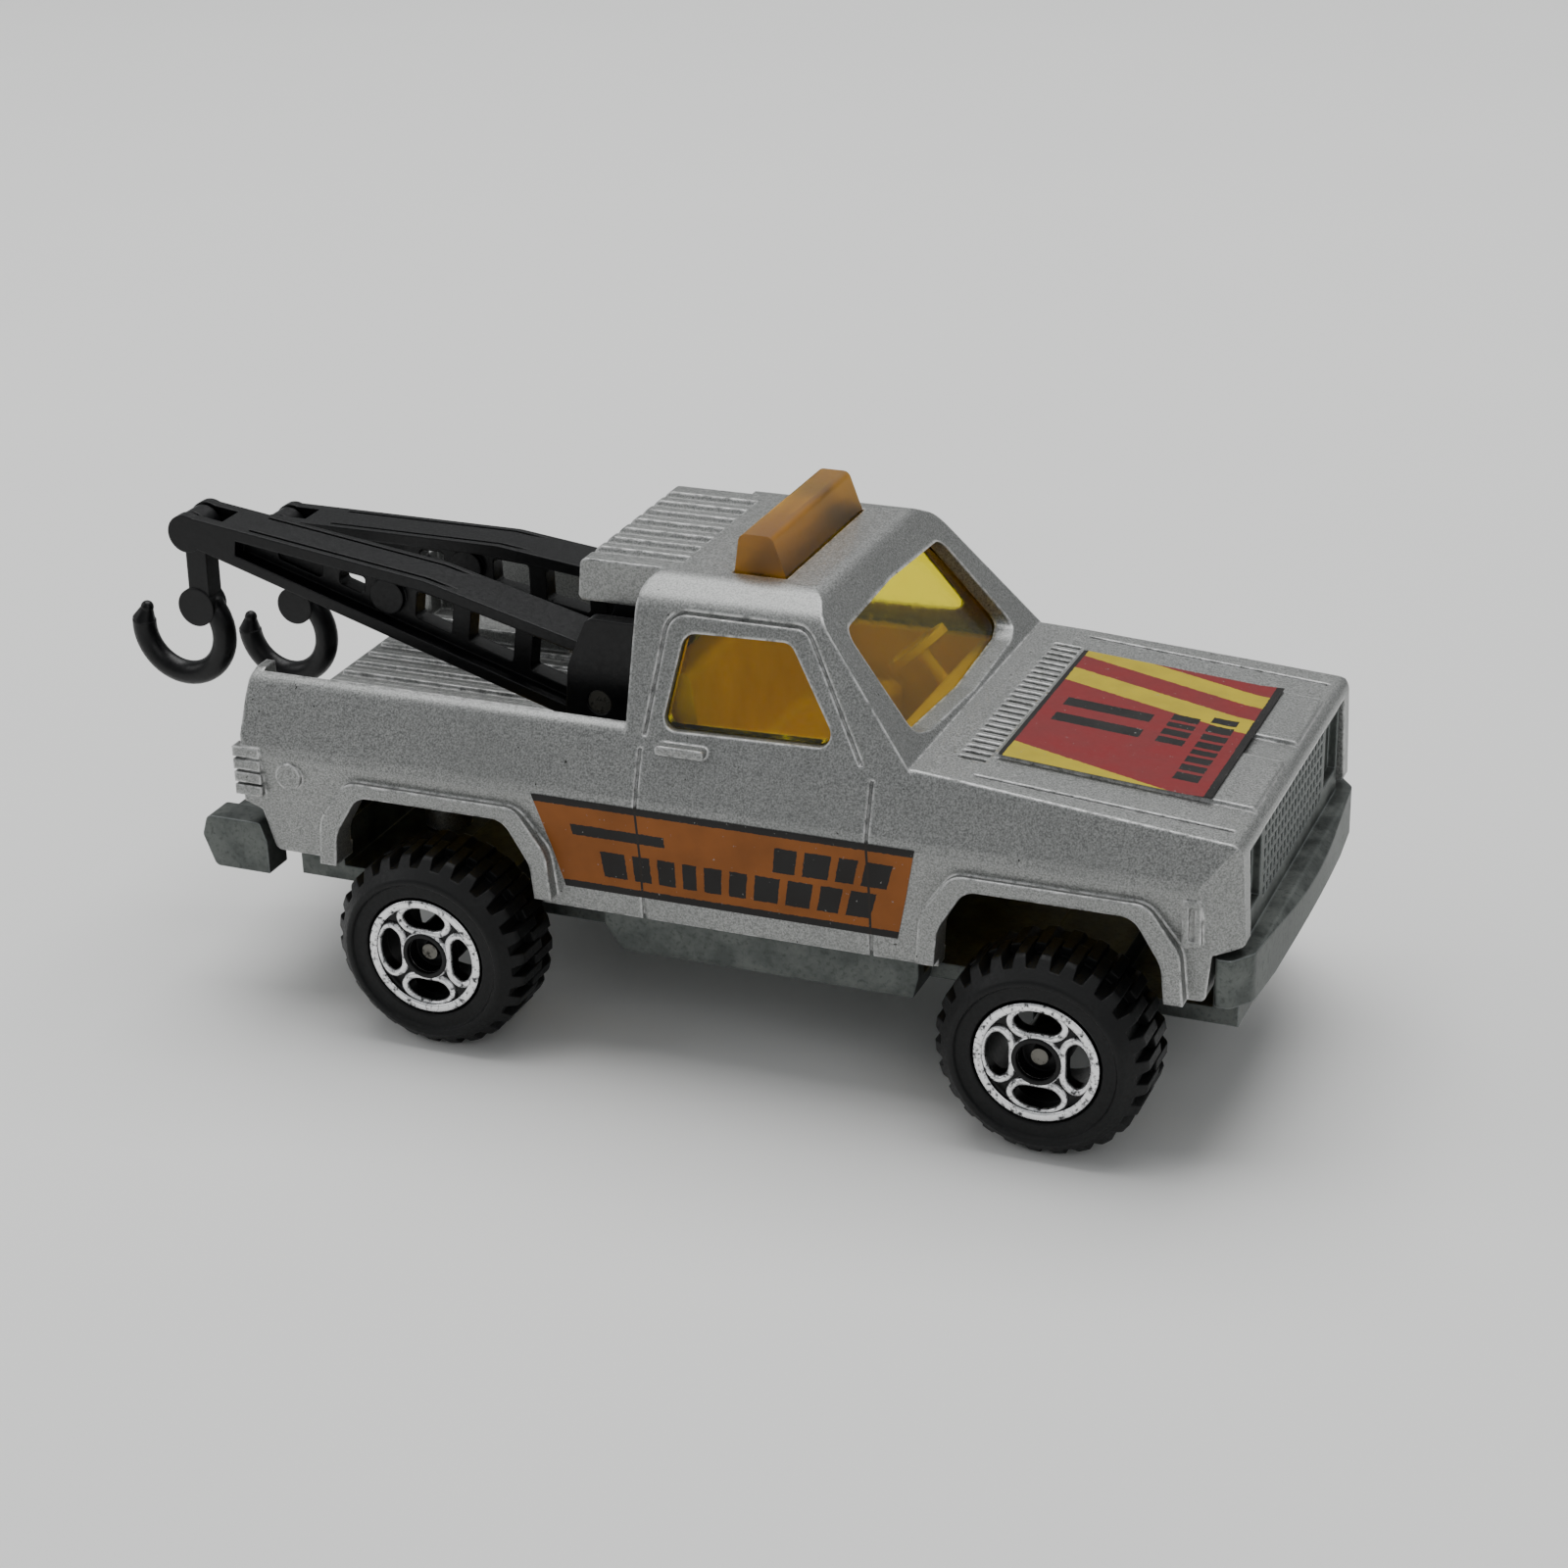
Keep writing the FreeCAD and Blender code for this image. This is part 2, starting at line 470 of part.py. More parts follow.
# ---- chassis --------------------------------------------------------------------------------------
def axle_saddle(axle_x):
    """Raised bridge over one axle with a bored lug at each end."""
    centre_z = TYRE_R
    bridge = block(axle_x - 2.8, axle_x + 2.8, -LUG_OUT_Y, LUG_OUT_Y, centre_z - 1.4, centre_z + 3.2)
    channel = block(axle_x - 1.5, axle_x + 1.5, -LUG_OUT_Y + LUG_T, LUG_OUT_Y - LUG_T, 0, centre_z + 1.8)
    return bridge.cut(channel)


def grille_cells():
    """Egg-crate cells across the front, and a square lamp recess at each end."""
    columns, rows, lamp_w = 18, 6, 4.4
    half = GRILLE_HALF_W - lamp_w - 0.6
    pitch_y, pitch_z = 2 * half / columns, (GRILLE_Z1 - GRILLE_Z0 - 0.5) / rows
    cells = []
    for i in range(columns):
        for j in range(rows):
            y, z = -half + pitch_y * (i + 0.5), GRILLE_Z0 + 0.25 + pitch_z * (j + 0.5)
            cells.append(block(NOSE_X - 1.1, NOSE_X + 1, y - pitch_y * 0.34, y + pitch_y * 0.34,
                               z - pitch_z * 0.34, z + pitch_z * 0.34))
    lamp = block(NOSE_X - 1.0, NOSE_X + 1, GRILLE_HALF_W - lamp_w, GRILLE_HALF_W - 0.5,
                 GRILLE_Z0 + 0.9, GRILLE_Z1 - 0.7)
    return Part.makeCompound(cells + [both_sides(lamp)])


def front_bumper():
    """Front bumper wrapped round both corners, with a raised plate at its middle."""
    y, x, back = BUMPER_HALF_W, BUMPER_FRONT_X, NOSE_X - 1.6
    plan = [(x - 1.0, -y + 1.6, 1.2), (x, 0, 90.0), (x - 1.0, y - 1.6, 1.2), (x - 2.2, y, 0.6),
            (back, y, 0.3), (back, -y, 0.3), (x - 2.2, -y, 0.6)]
    bar = prism_z(plan, SILL_Z + 0.5, SILL_Z + 4.0)
    slope = prism_y([(x - 6, SILL_Z, 0), (x - 1.0, SILL_Z, 0), (x + 0.2, SILL_Z + 1.9, 0.6),
                     (x + 0.2, SILL_Z + 3.0, 0.5), (x - 0.9, SILL_Z + 4.0, 0.4), (x - 6, SILL_Z + 4.0, 0)],
                    -20, 20)
    return bar.common(slope)


def rear_bumper():
    """Step bumper behind the tail: a bar with a stepped block at each end."""
    y, x = BUMPER_HALF_W, BUMPER_REAR_X
    bar = prism_y([(x + 1.0, 11.2, 0.4), (TAIL_X + 0.9, 11.2, 0), (TAIL_X + 0.9, 14.2, 0),
                   (x + 1.0, 14.2, 0.5)], -y, y)
    end = prism_y([(x + 0.9, 10.5, 0.5), (TAIL_X + 1.4, 10.5, 0), (TAIL_X + 1.4, 13.0, 0.3),
                   (TAIL_X + 0.9, 14.5, 0.3), (x + 0.5, 14.5, 0.5), (x, 12.9, 0.6)], y - 2.3, y + 0.2)
    return bar.fuse([end, mirrored(end)])


def chassis_base():
    """Bare die-cast base: floor pan, side panels, axle saddles, both bumpers and the grille."""
    z0, z1 = FLOOR_Z, FLOOR_Z + FLOOR_T
    rear_x, web_x = TAIL_X + 2.9, NOSE_X - 3.1
    pan = block(rear_x, web_x + 1.5, -FRAME_HALF_W, FRAME_HALF_W, z0, z1)
    wide = prism_y([(PANEL_REAR_X + 1.4, z0, 0), (PANEL_FRONT_X - 0.4, z0, 0), (PANEL_FRONT_X, z0 + 1.6, 0),
                    (PANEL_FRONT_X, INTERIOR_FLOOR_Z, 0), (PANEL_REAR_X, INTERIOR_FLOOR_Z, 0),
                    (PANEL_REAR_X, z0 + 1.8, 0)], -PANEL_HALF_W, PANEL_HALF_W)
    hollow = block(PANEL_REAR_X - 1, PANEL_FRONT_X + 1, -PANEL_HALF_W + 1.1, PANEL_HALF_W - 1.1,
                   z1, INTERIOR_FLOOR_Z + 1)
    saddles = [axle_saddle(x) for x in (FRONT_AXLE_X, REAR_AXLE_X)]
    channels = [block(x - 1.5, x + 1.5, -LUG_OUT_Y + LUG_T, LUG_OUT_Y - LUG_T, 0, TYRE_R + 1.8)
                for x in (FRONT_AXLE_X, REAR_AXLE_X)]
    arm = block(TAIL_X + 0.4, rear_x + 1.2, -FRAME_HALF_W, FRAME_HALF_W, z0, 12.0)
    web = block(web_x, web_x + 1.8, -FRAME_HALF_W, FRAME_HALF_W, z0, GRILLE_Z1 - 1)
    grille = block(NOSE_X - 2.0, NOSE_X - 0.35, -GRILLE_HALF_W + 0.15, GRILLE_HALF_W - 0.15,
                   SILL_Z + 3.5, GRILLE_Z1 - 0.15)
    body = pan.cut(channels).fuse([wide.cut(hollow), arm, web, grille, front_bumper(), rear_bumper()]
                                  + saddles)
    bores = [rod_y(x, TYRE_R, AXLE_R + RUN_CLEAR, -20, 20) for x in (FRONT_AXLE_X, REAR_AXLE_X)]
    for x in (FRONT_POST_X, REAR_POST_X):
        bores.append(rod_z(x, 0, RIVET_R + PRESS_CLEAR, z0 - 1, z1 + 1))
        bores.append(rod_z(x, 0, RIVET_HEAD_R + RUN_CLEAR, z0 - 1, z0 + RIVET_HEAD_T))
    return one_solid(body.cut(bores + [grille_cells()]))


def chassis_rivets():
    """The two rivets that hold the base to the posts of the body, heads let in flush."""
    rivets = []
    for x in (FRONT_POST_X, REAR_POST_X):
        shank = rod_z(x, 0, RIVET_R, FLOOR_Z + 0.1, FLOOR_Z + FLOOR_T + RIVET_GRIP - 0.1)
        rivets.append(shank.fuse(rod_z(x, 0, RIVET_HEAD_R, FLOOR_Z + 0.05, FLOOR_Z + RIVET_HEAD_T)))
    return Part.makeCompound([one_solid(rivet) for rivet in rivets])


# ---- wheels ---------------------------------------------------------------------------------------
WHEEL_IN_Y = WHEEL_OUT_Y - TYRE_W


def tread_ring(y0, y1, turn):
    """One shoulder of the tread: a toothed ring with a lug and a gap in each pitch."""
    root, tip = TYRE_R - LUG_DEPTH, TYRE_R
    pitch = 2 * math.pi / LUG_COUNT
    points = []
    for i in range(LUG_COUNT):
        start = pitch * (i + turn)
        for share, radius in ((0.02, root), (0.12, tip), (0.52, tip), (0.62, root)):
            angle = start + pitch * share
            points.append(Vector(radius * math.cos(angle), y0, radius * math.sin(angle)))
    face = Part.Face(Part.makePolygon(points + [points[0]]))
    return face.extrude(Vector(0, y1 - y0, 0))


def revolve_y(corners):
    """Outline in (radius, y), turned once round the Y axis."""
    face = rounded_face(corners, lambda a, b: Vector(a, b, 0))
    return face.revolve(Vector(0, 0, 0), Vector(0, 1, 0), 360)


def tyre():
    """Chunky off-road tyre on the Y axis, outer face at the larger y."""
    y0, y1 = WHEEL_IN_Y + 0.2, WHEEL_OUT_Y
    middle = (y0 + y1) / 2
    overlap = 0.5
    tread = tread_ring(y0, middle + overlap, 0.5).fuse(tread_ring(middle - overlap, y1, 0.0))
    bore = RIM_R + PRESS_CLEAR
    blank = revolve_y([(bore, y0, 0.3), (TYRE_R - 1.4, y0, 0.4), (TYRE_R + 0.05, y0 + 1.5, 1.0),
                       (TYRE_R + 0.05, y1 - 1.5, 1.0), (TYRE_R - 1.4, y1, 0.4), (TYRE_R - 1.75, y1, 0.1),
                       (TYRE_R - 1.9, y1 - 0.3, 0.1), (bore + 0.2, y1 - 0.3, 0.2), (bore, y1 - 0.7, 0.2)])
    return one_solid(tread.common(blank))


def wheel_window():
    """Bean-shaped window: a closed smooth curve about a mid radius, its ends rounded."""
    middle_r, half_depth, half_turn, squareness = 2.85, 0.9, 0.6, 0.8
    points = []
    for i in range(24):
        wave = 2 * math.pi * i / 24
        depth, along = (math.copysign(abs(w) ** squareness, w) for w in (math.sin(wave), math.cos(wave)))
        radius, angle = middle_r + half_depth * depth, half_turn * along
        points.append(Vector(radius * math.cos(angle), 0, radius * math.sin(angle)))
    curve = Part.BSplineCurve()
    curve.interpolate(points, PeriodicFlag=True)
    return Part.Face(Part.Wire(curve.toShape())).extrude(Vector(0, 30, 0))


def rim():
    """Four-window wheel with a deep barrel, a hub tube with an open mouth, and a recessed face."""
    y0, y1 = WHEEL_IN_Y, WHEEL_OUT_Y - 0.35
    hub_r, barrel_in = HUB_R, RIM_R - 0.55
    web0, web1 = y1 - 1.5, y1 - 0.45
    bore = AXLE_R + PRESS_CLEAR
    solid = revolve_y([(bore, y0, 0), (hub_r, y0, 0.15), (hub_r, web0, 0.3), (barrel_in, web0, 0.2),
                       (barrel_in, y0 + 0.6, 0), (RIM_R, y0 + 0.6, 0), (RIM_R, y1, 0.25),
                       (barrel_in, y1, 0.15), (barrel_in, web1, 0.2), (hub_r, web1, 0.1), (hub_r, y1, 0.1),
                       (hub_r - 0.35, y1, 0.1), (hub_r - 0.35, y1 - HUB_MOUTH, 0), (bore, y1 - HUB_MOUTH, 0)])
    window = wheel_window()
    windows = [window.rotated(Vector(0, 0, 0), Vector(0, 1, 0), 90 * i) for i in range(4)]
    return one_solid(solid.cut(windows))


def axle():
    """Straight steel axle."""
    reach = WHEEL_OUT_Y - 1.2
    return rod_y(0, 0, AXLE_R, -reach, reach)


# ---- towing gear ----------------------------------------------------------------------------------
BOOM_BASE_R = 3.1
BOOM_KNEE = 15.0            # where the top edge turns level
HOOK_EYE_R = 1.45
CLEVIS_GAP = 0.3


def boom_bottom(distance):
    """Height of a boom's bottom edge above its pivot, at a distance from the pivot (lowered boom)."""
    return -BOOM_BASE_R + 0.174 * distance


def boom_top(distance):
    """Height of a boom's top edge above its pivot: rising near the base, level further out."""
    rise, level = 3.4, 4.9
    return rise + (level - rise) * min(distance / BOOM_KNEE, 1.0)


def boom_panel(first, last, margin):
    """Four-cornered panel between the chords, from first to last distance, inside a margin."""
    return [(-first, boom_bottom(first) + margin), (-first, boom_top(first) - margin),
            (-last, boom_top(last) - margin), (-last, boom_bottom(last) + margin)]


def boom():
    """One lattice boom about its pivot: a flanged beam with windows, a boss and a forked tip."""
    half, web = BOOM_W / 2, BOOM_WEB / 2
    tip = BOOM_L + HOOK_EYE_R
    outline = [(0, boom_bottom(0), 0.5), (-tip + 0.4, boom_bottom(BOOM_L), 0.9),
               (-tip + 0.4, boom_top(BOOM_L), 0.9), (-BOOM_KNEE, boom_top(BOOM_KNEE), 4.0),
               (0, boom_top(0) - 0.3, 0.5)]
    slab = prism_y(outline, -half, half)
    side_cut = prism_y(inset(outline, 0.85), web, half + 1)
    keep = [block(-3.0, 1, -half, half + 1, -10, 10), block(-tip - 1, -BOOM_L + 4.2, -half, half + 1, -10, 10)]
    beam = slab.cut(both_sides(side_cut.cut(keep)))
    base = rod_y(0, 0, BOOM_BASE_R, -half, half)
    end = rod_y(-BOOM_L, HOOK_PIN_Z, HOOK_EYE_R, -half, half)
    boss = rod_y(-18.3, (boom_top(18.3) + boom_bottom(18.3)) / 2, 1.35, -web - 0.45, web + 0.45)
    beam = beam.fuse([base, end, boss])
    windows = [prism_y(plain(boom_panel(a, b, 1.55), 0.3), -half - 1, half + 1)
               for a, b in ((3.3, 6.7), (8.1, 11.7), (13.1, 16.1), (20.3, 22.4))]
    recess = both_sides(prism_y(plain(boom_panel(23.8, 27.5, 1.3), 0.3), web - 0.35, web + 1))
    slot = block(-tip - 1, -BOOM_L + 2.6, -HOOK_T / 2 - CLEVIS_GAP, HOOK_T / 2 + CLEVIS_GAP, -10, 10)
    groove = both_sides(block(-BOOM_L + 5, -3, half - 0.75, half - 0.45, boom_top(BOOM_KNEE) - 0.3, 10))
    beam = beam.cut(windows + [recess, slot, groove])
    pin = rod_y(-BOOM_L, HOOK_PIN_Z, HOOK_PIN_R, -half + 0.1, half - 0.1)
    return one_solid(beam.fuse(pin).cut(rod_y(0, 0, BOOM_PIN_R + RUN_CLEAR, -5, 5)))


HOOK_PIN_Z = 3.55


def hook():
    """Tow hook about its pin: an eye, a shank with a thick collar, and an open round bow."""
    bow_x = -HOOK_BOW_R + 1.2
    eye = rod_y(0, 0, HOOK_EYE_R - 0.1, -HOOK_T / 2, HOOK_T / 2)
    shank = prism_y(plain([(-0.85, 0), (0.85, 0), (0.75, -HOOK_DROP + 2.6), (-0.95, -HOOK_DROP + 2.6)]),
                    -HOOK_T / 2, HOOK_T / 2)
    collar = rod_y(-0.45, -HOOK_DROP + 2.3, 1.5, -HOOK_T / 2 - 0.1, HOOK_T / 2 + 0.1)
    centre = Vector(bow_x, 0, -HOOK_DROP)
    first, last = 38.0, -186.0
    bow = Part.makeTorus(HOOK_BOW_R, HOOK_WIRE_R, centre, Vector(0, 1, 0), -180, 180, first - last)
    bow.rotate(centre, Vector(0, 1, 0), 90 - first)
    ends = [centre + Vector(math.cos(math.radians(a)), 0, math.sin(math.radians(a))) * HOOK_BOW_R
            for a in (first, last)]
    root = Part.makeSphere(HOOK_WIRE_R + 0.05, ends[0])
    point = Part.makeCone(HOOK_WIRE_R, 0.45, 1.1, ends[1], Vector(0.35, 0, 0.94))
    nose = Part.makeSphere(0.5, ends[1] + Vector(0.35, 0, 0.94) * 1.1)
    body = eye.fuse([shank, collar, bow, root, point, nose])
    return one_solid(body.cut(rod_y(0, 0, HOOK_PIN_R + RUN_CLEAR, -5, 5)))


def boom_post():
    """Bracket behind the cab: foot plate, middle block between the booms, and two outer cheeks."""
    x0, x1 = PIVOT_X - 2.9, CAB_REAR_X - 0.15
    inner = BOOM_Y - BOOM_W / 2 - SIDE_PLAY
    outer = BOOM_Y + BOOM_W / 2 + SIDE_PLAY
    foot_top = PIVOT_Z - BOOM_BASE_R - 0.5
    top = ROOF_Z - FAIRING_T - 0.6
    profile = [(x0, foot_top - 0.3, 0), (x1, foot_top - 0.3, 0), (x1, top, 0.3), (x0 + 2.2, top, 0.8),
               (x0 + 0.6, PIVOT_Z + 2.5, 1.5)]
    foot = block(x0, x1, -outer - 1.1, outer + 1.1, BED_FLOOR_Z, foot_top)
    middle = prism_y(profile, -inner, inner)
    cheek = prism_y(profile, outer, outer + 1.1)
    body = foot.fuse([middle, cheek, mirrored(cheek)])
    return one_solid(body.cut(rod_y(PIVOT_X, PIVOT_Z, BOOM_PIN_R + PRESS_CLEAR, -20, 20)))


def boom_pivot_pin():
    """Cross pin through the bracket, which both booms turn on."""
    reach = BOOM_Y + BOOM_W / 2 + SIDE_PLAY + 1.0
    return rod_y(PIVOT_X, PIVOT_Z, BOOM_PIN_R, -reach, reach)


def place_boom(side, lift):
    """A boom lifted about the cross pin. A positive lift raises the hook end."""
    shape = boom()
    shape.rotate(Vector(0, 0, 0), Vector(0, 1, 0), lift)
    shape.translate(Vector(PIVOT_X, side * BOOM_Y, PIVOT_Z))
    return shape


def hook_pin_point(side, lift):
    """Middle of the hook pin at the tip of a lifted boom."""
    turn = FreeCAD.Rotation(Vector(0, 1, 0), lift)
    return Vector(PIVOT_X, side * BOOM_Y, PIVOT_Z) + turn.multVec(Vector(-BOOM_L, 0, HOOK_PIN_Z))


def place_hook(side, lift, swing):
    """A hook hanging on its pin, its lower end swung forwards by an angle."""
    shape = hook()
    shape.rotate(Vector(0, 0, 0), Vector(0, 1, 0), -swing)
    shape.translate(hook_pin_point(side, lift))
    return shape


# ---- assembly -------------------------------------------------------------------------------------
def wheel_set(prefix, axle_x):
    """Axle, two rims and two tyres on one axle line."""
    nodes = {prefix + "_axle": axle()}
    for side, name in ((-1, "right"), (1, "left")):
        for piece, maker in (("rim", rim), ("tyre", tyre)):
            shape = maker()
            nodes[f"{prefix}_{name}_{piece}"] = shape if side > 0 else mirrored(shape)
    for shape in nodes.values():
        shape.translate(Vector(axle_x, 0, TYRE_R))
    return nodes


def all_nodes():
    """Every piece by name, on the working frame."""
    nodes = {"body_shell": body_shell(), "chassis_base": chassis_base(), "amber_glazing": amber_glazing(),
             "cab_interior": cab_interior(), "chassis_rivets": chassis_rivets(), "boom_post": boom_post(),
             "boom_pivot_pin": boom_pivot_pin(),
             "right_boom": place_boom(-1, RIGHT_BOOM_LIFT), "left_boom": place_boom(1, LEFT_BOOM_LIFT),
             "right_hook": place_hook(-1, RIGHT_BOOM_LIFT, RIGHT_HOOK_SWING),
             "left_hook": place_hook(1, LEFT_BOOM_LIFT, LEFT_HOOK_SWING)}
    nodes.update(wheel_set("front", FRONT_AXLE_X))
    nodes.update(wheel_set("rear", REAR_AXLE_X))
    return nodes


def main():
    """Build, move the origin under the middle of the truck, and write one STEP file per node."""
    os.makedirs("parts", exist_ok=True)
    nodes = all_nodes()
    spans = [shape.optimalBoundingBox(False, False) for shape in nodes.values()]
    shift = -(min(b.XMin for b in spans) + max(b.XMax for b in spans)) / 2
    for name, shape in nodes.items():
        shape.translate(Vector(shift, 0, 0))
        shape.exportStep(f"parts/{name}.step")
        print(name, "solids", len(shape.Solids), "volume %.1f" % shape.Volume, "valid", shape.isValid())
    print("moved along X by %.4f" % shift)
    for side, lift, name in ((-1, RIGHT_BOOM_LIFT, "right"), (1, LEFT_BOOM_LIFT, "left")):
        point = hook_pin_point(side, lift)
        print(name, "hook pin %.4f %.4f %.4f" % (point.x + shift, point.y, point.z))


main()
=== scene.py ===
# %% [markdown]
# # A die-cast toy tow truck
# The construction model gives every solid piece at its real size. This lesson gives each piece the finish
# of the real one, and adds what is too thin for the construction model: printed films on the doors and the
# bonnet, and foil on the wheels.

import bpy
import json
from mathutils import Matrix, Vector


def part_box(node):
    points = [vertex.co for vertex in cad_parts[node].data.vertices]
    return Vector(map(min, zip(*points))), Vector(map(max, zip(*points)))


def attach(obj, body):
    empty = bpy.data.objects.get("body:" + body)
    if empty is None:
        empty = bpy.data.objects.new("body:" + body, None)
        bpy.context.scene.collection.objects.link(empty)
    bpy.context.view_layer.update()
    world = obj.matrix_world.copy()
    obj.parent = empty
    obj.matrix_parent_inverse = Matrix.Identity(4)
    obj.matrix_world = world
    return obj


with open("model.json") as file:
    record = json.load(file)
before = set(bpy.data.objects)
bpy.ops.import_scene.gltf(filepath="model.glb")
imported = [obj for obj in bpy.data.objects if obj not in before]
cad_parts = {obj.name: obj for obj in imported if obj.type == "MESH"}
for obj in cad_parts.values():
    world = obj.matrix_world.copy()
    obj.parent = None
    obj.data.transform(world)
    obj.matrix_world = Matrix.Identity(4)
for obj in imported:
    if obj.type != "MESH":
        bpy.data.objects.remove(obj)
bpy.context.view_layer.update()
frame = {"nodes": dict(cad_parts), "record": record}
print("pieces from the construction model:", len(frame["nodes"]))

# %% imports and units
import json
import math

import bpy
import numpy as np
from mathutils import Matrix, Vector

MM = 0.001


def linear(hex_colour):
    """sRGB hex to linear RGBA: a channel c becomes ((c + 0.055) / 1.055) ** 2.4, or c / 12.92 when dark."""
    parts = [int(hex_colour[i:i + 2], 16) / 255 for i in (1, 3, 5)]
    return [((c + 0.055) / 1.055) ** 2.4 if c > 0.04045 else c / 12.92 for c in parts] + [1.0]


print("middle grey #808080 is %.3f in linear light" % linear("#808080")[0])

# %% [markdown]
# ## Reference lengths
# The construction model is drawn about the middle between its axles, then slid forwards until the whole
# truck is centred. The axle boxes give that slide back, so later pieces can be placed from named lengths.

# %% reference lengths
def centre(node):
    """Middle of a node's box at rest: half the sum of its two corners."""
    low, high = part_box(node)
    return (Vector(low) + Vector(high)) / 2


FRONT_AXLE = centre("front_axle")
REAR_AXLE = centre("rear_axle")
ROOF_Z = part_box("body_shell")[1][2]
FRONT_AXLE_FROM_MID = 21.9 * MM
SHIFT = FRONT_AXLE.x - FRONT_AXLE_FROM_MID
print("slide along X: %.2f mm, wheelbase %.1f mm" % (SHIFT / MM, (FRONT_AXLE.x - REAR_AXLE.x) / MM))

# %% [markdown]
# ## Node materials
# Every finish is a small node tree. One function adds a node, feeds its inputs and hands back the socket
# that carries its result, so a tree reads as a list of named steps. Patterns use Object coordinates in
# metres, so a scale of 1 / size gives one repeat per that real size.

# %% the node function
def add(tree, kind, inputs=None, output=None, **settings):
    """Add one node: settings are properties; inputs are values or sockets, keyed by name or position."""
    node = tree.nodes.new("ShaderNode" + kind)
    for name, value in settings.items():
        setattr(node, name, value)
    for key, value in (inputs or {}).items():
        named = [s for s in node.inputs if s.name == key and s.enabled]
        socket = named[0] if named else node.inputs[key]
        if isinstance(value, bpy.types.NodeSocket):
            tree.links.new(value, socket)
        else:
            socket.default_value = value
    return node.outputs[output] if output else next((s for s in node.outputs if s.enabled), None)


def new_material(name):
    """A material with an empty node tree, and that tree."""
    material = bpy.data.materials.new(name)
    material.use_nodes = True
    material.node_tree.nodes.clear()
    return material, material.node_tree


def per_mm(size_mm):
    """Texture scale that makes one feature about this many millimetres across."""
    return 1.0 / (size_mm * MM)


print("a 0.5 mm feature needs a texture scale of", per_mm(0.5))

# %% [markdown]
# ## Rounded and rubbed edges
# Neither a casting nor a moulding has a truly sharp edge: metal and plastic leave a small radius at every
# corner, and paint rounds it further. That radius catches the light as a bright line. The rounded normal
# bends the shading over such a radius; where it leaves the true normal there is an edge, rubbed by play,
# and on the silver paint also lightened as a painted highlight.

# %% edges
def edges(tree, radius_mm, low, high):
    """Rounded normal, and a mask that grows from 0 to 1 as 1 - (rounded . true) passes low..high."""
    rounded = add(tree, "Bevel", {"Radius": radius_mm * MM}, samples=6)
    true = add(tree, "NewGeometry", output="Normal")
    dot = add(tree, "VectorMath", {0: rounded, 1: true}, output="Value", operation="DOT_PRODUCT")
    turn = add(tree, "Math", {0: 1.0, 1: dot}, operation="SUBTRACT")
    return rounded, add(tree, "MapRange", {"Value": turn, "From Min": low, "From Max": high})


# %% [markdown]
# ## Silver paint
# The body is a zinc casting sprayed with silver lacquer. Aluminium flakes about 0.05 mm across lie at
# slightly different angles, so the coat sparkles as fine light and dark grains; they are drawn coarser
# here, at 0.13 mm, so that they show. The edges are painted near white: partly lacquer rubbed bright by
# play, partly a painted highlight.

# %% silver paint
def silver_paint():
    """Flake lacquer: grain in colour and in normal, broad mottling, chips, edges painted bright as rubbed
    wear and as a painted highlight.
    """
    material, tree = new_material("silver flake lacquer on zinc")
    where = add(tree, "TexCoord", output="Object")
    grain = add(tree, "TexNoise", {"Vector": where, "Scale": per_mm(0.13), "Detail": 2.0, "Roughness": 0.7})
    cloud = add(tree, "TexNoise", {"Vector": where, "Scale": per_mm(9.0), "Detail": 3.0})
    scuff = add(tree, "TexNoise", {"Vector": where, "Scale": per_mm(0.8), "Detail": 3.0, "Roughness": 0.7})
    chip = add(tree, "TexNoise", {"Vector": where, "Scale": per_mm(0.5), "Detail": 2.0})
    rounded, edge = edges(tree, 0.34, 0.02, 0.15)
    flake = add(tree, "MapRange", {"Value": grain, "From Min": 0.36, "From Max": 0.64})
    base = add(tree, "Mix", {"Factor": flake, "A": linear("#707170"),
                             "B": linear("#a8a9a7")}, data_type="RGBA")
    dull = add(tree, "MapRange", {"Value": cloud, "From Min": 0.35, "From Max": 0.7, "To Max": 0.3})
    base = add(tree, "Mix", {"Factor": dull, "A": base, "B": linear("#7c7e7c")}, data_type="RGBA")
    patchy = add(tree, "MapRange", {"Value": scuff, "From Min": 0.36, "From Max": 0.58})
    # Painted highlight: the edges are mixed towards near white, partly rubbed lacquer and partly a painted
    # highlight along the rims.
    pale_edge = add(tree, "Math", {0: edge, 1: patchy}, operation="MULTIPLY")
    base = add(tree, "Mix", {"Factor": pale_edge, "A": base, "B": linear("#ededec")}, data_type="RGBA")
    speck = add(tree, "MapRange", {"Value": chip, "From Min": 0.745, "From Max": 0.765})
    base = add(tree, "Mix", {"Factor": speck, "A": base, "B": linear("#3e3e3c")}, data_type="RGBA")
    gloss = add(tree, "MapRange", {"Value": grain, "From Min": 0.3, "From Max": 0.7, "To Min": 0.34,
                                   "To Max": 0.5})
    skin = add(tree, "Bump", {"Height": grain, "Distance": 0.010 * MM, "Strength": 0.3, "Normal": rounded})
    shader = add(tree, "BsdfPrincipled", {"Base Color": base, "Roughness": gloss, "Normal": skin,
                                          "Metallic": 0.7,
                                          "Coat Weight": 0.15, "Coat Roughness": 0.25})
    add(tree, "OutputMaterial", {"Surface": shader})
    return material


FINISH = {"silver_paint": silver_paint()}
print("silver paint:", len(FINISH["silver_paint"].node_tree.nodes), "nodes")

# %% [markdown]
# ## Bare zinc casting
# The base, bumpers and grille are the same alloy left bare. It has dulled to a dark blue-grey, paler where
# fingers keep the high edges polished, with cloudy oxide a few millimetres across.

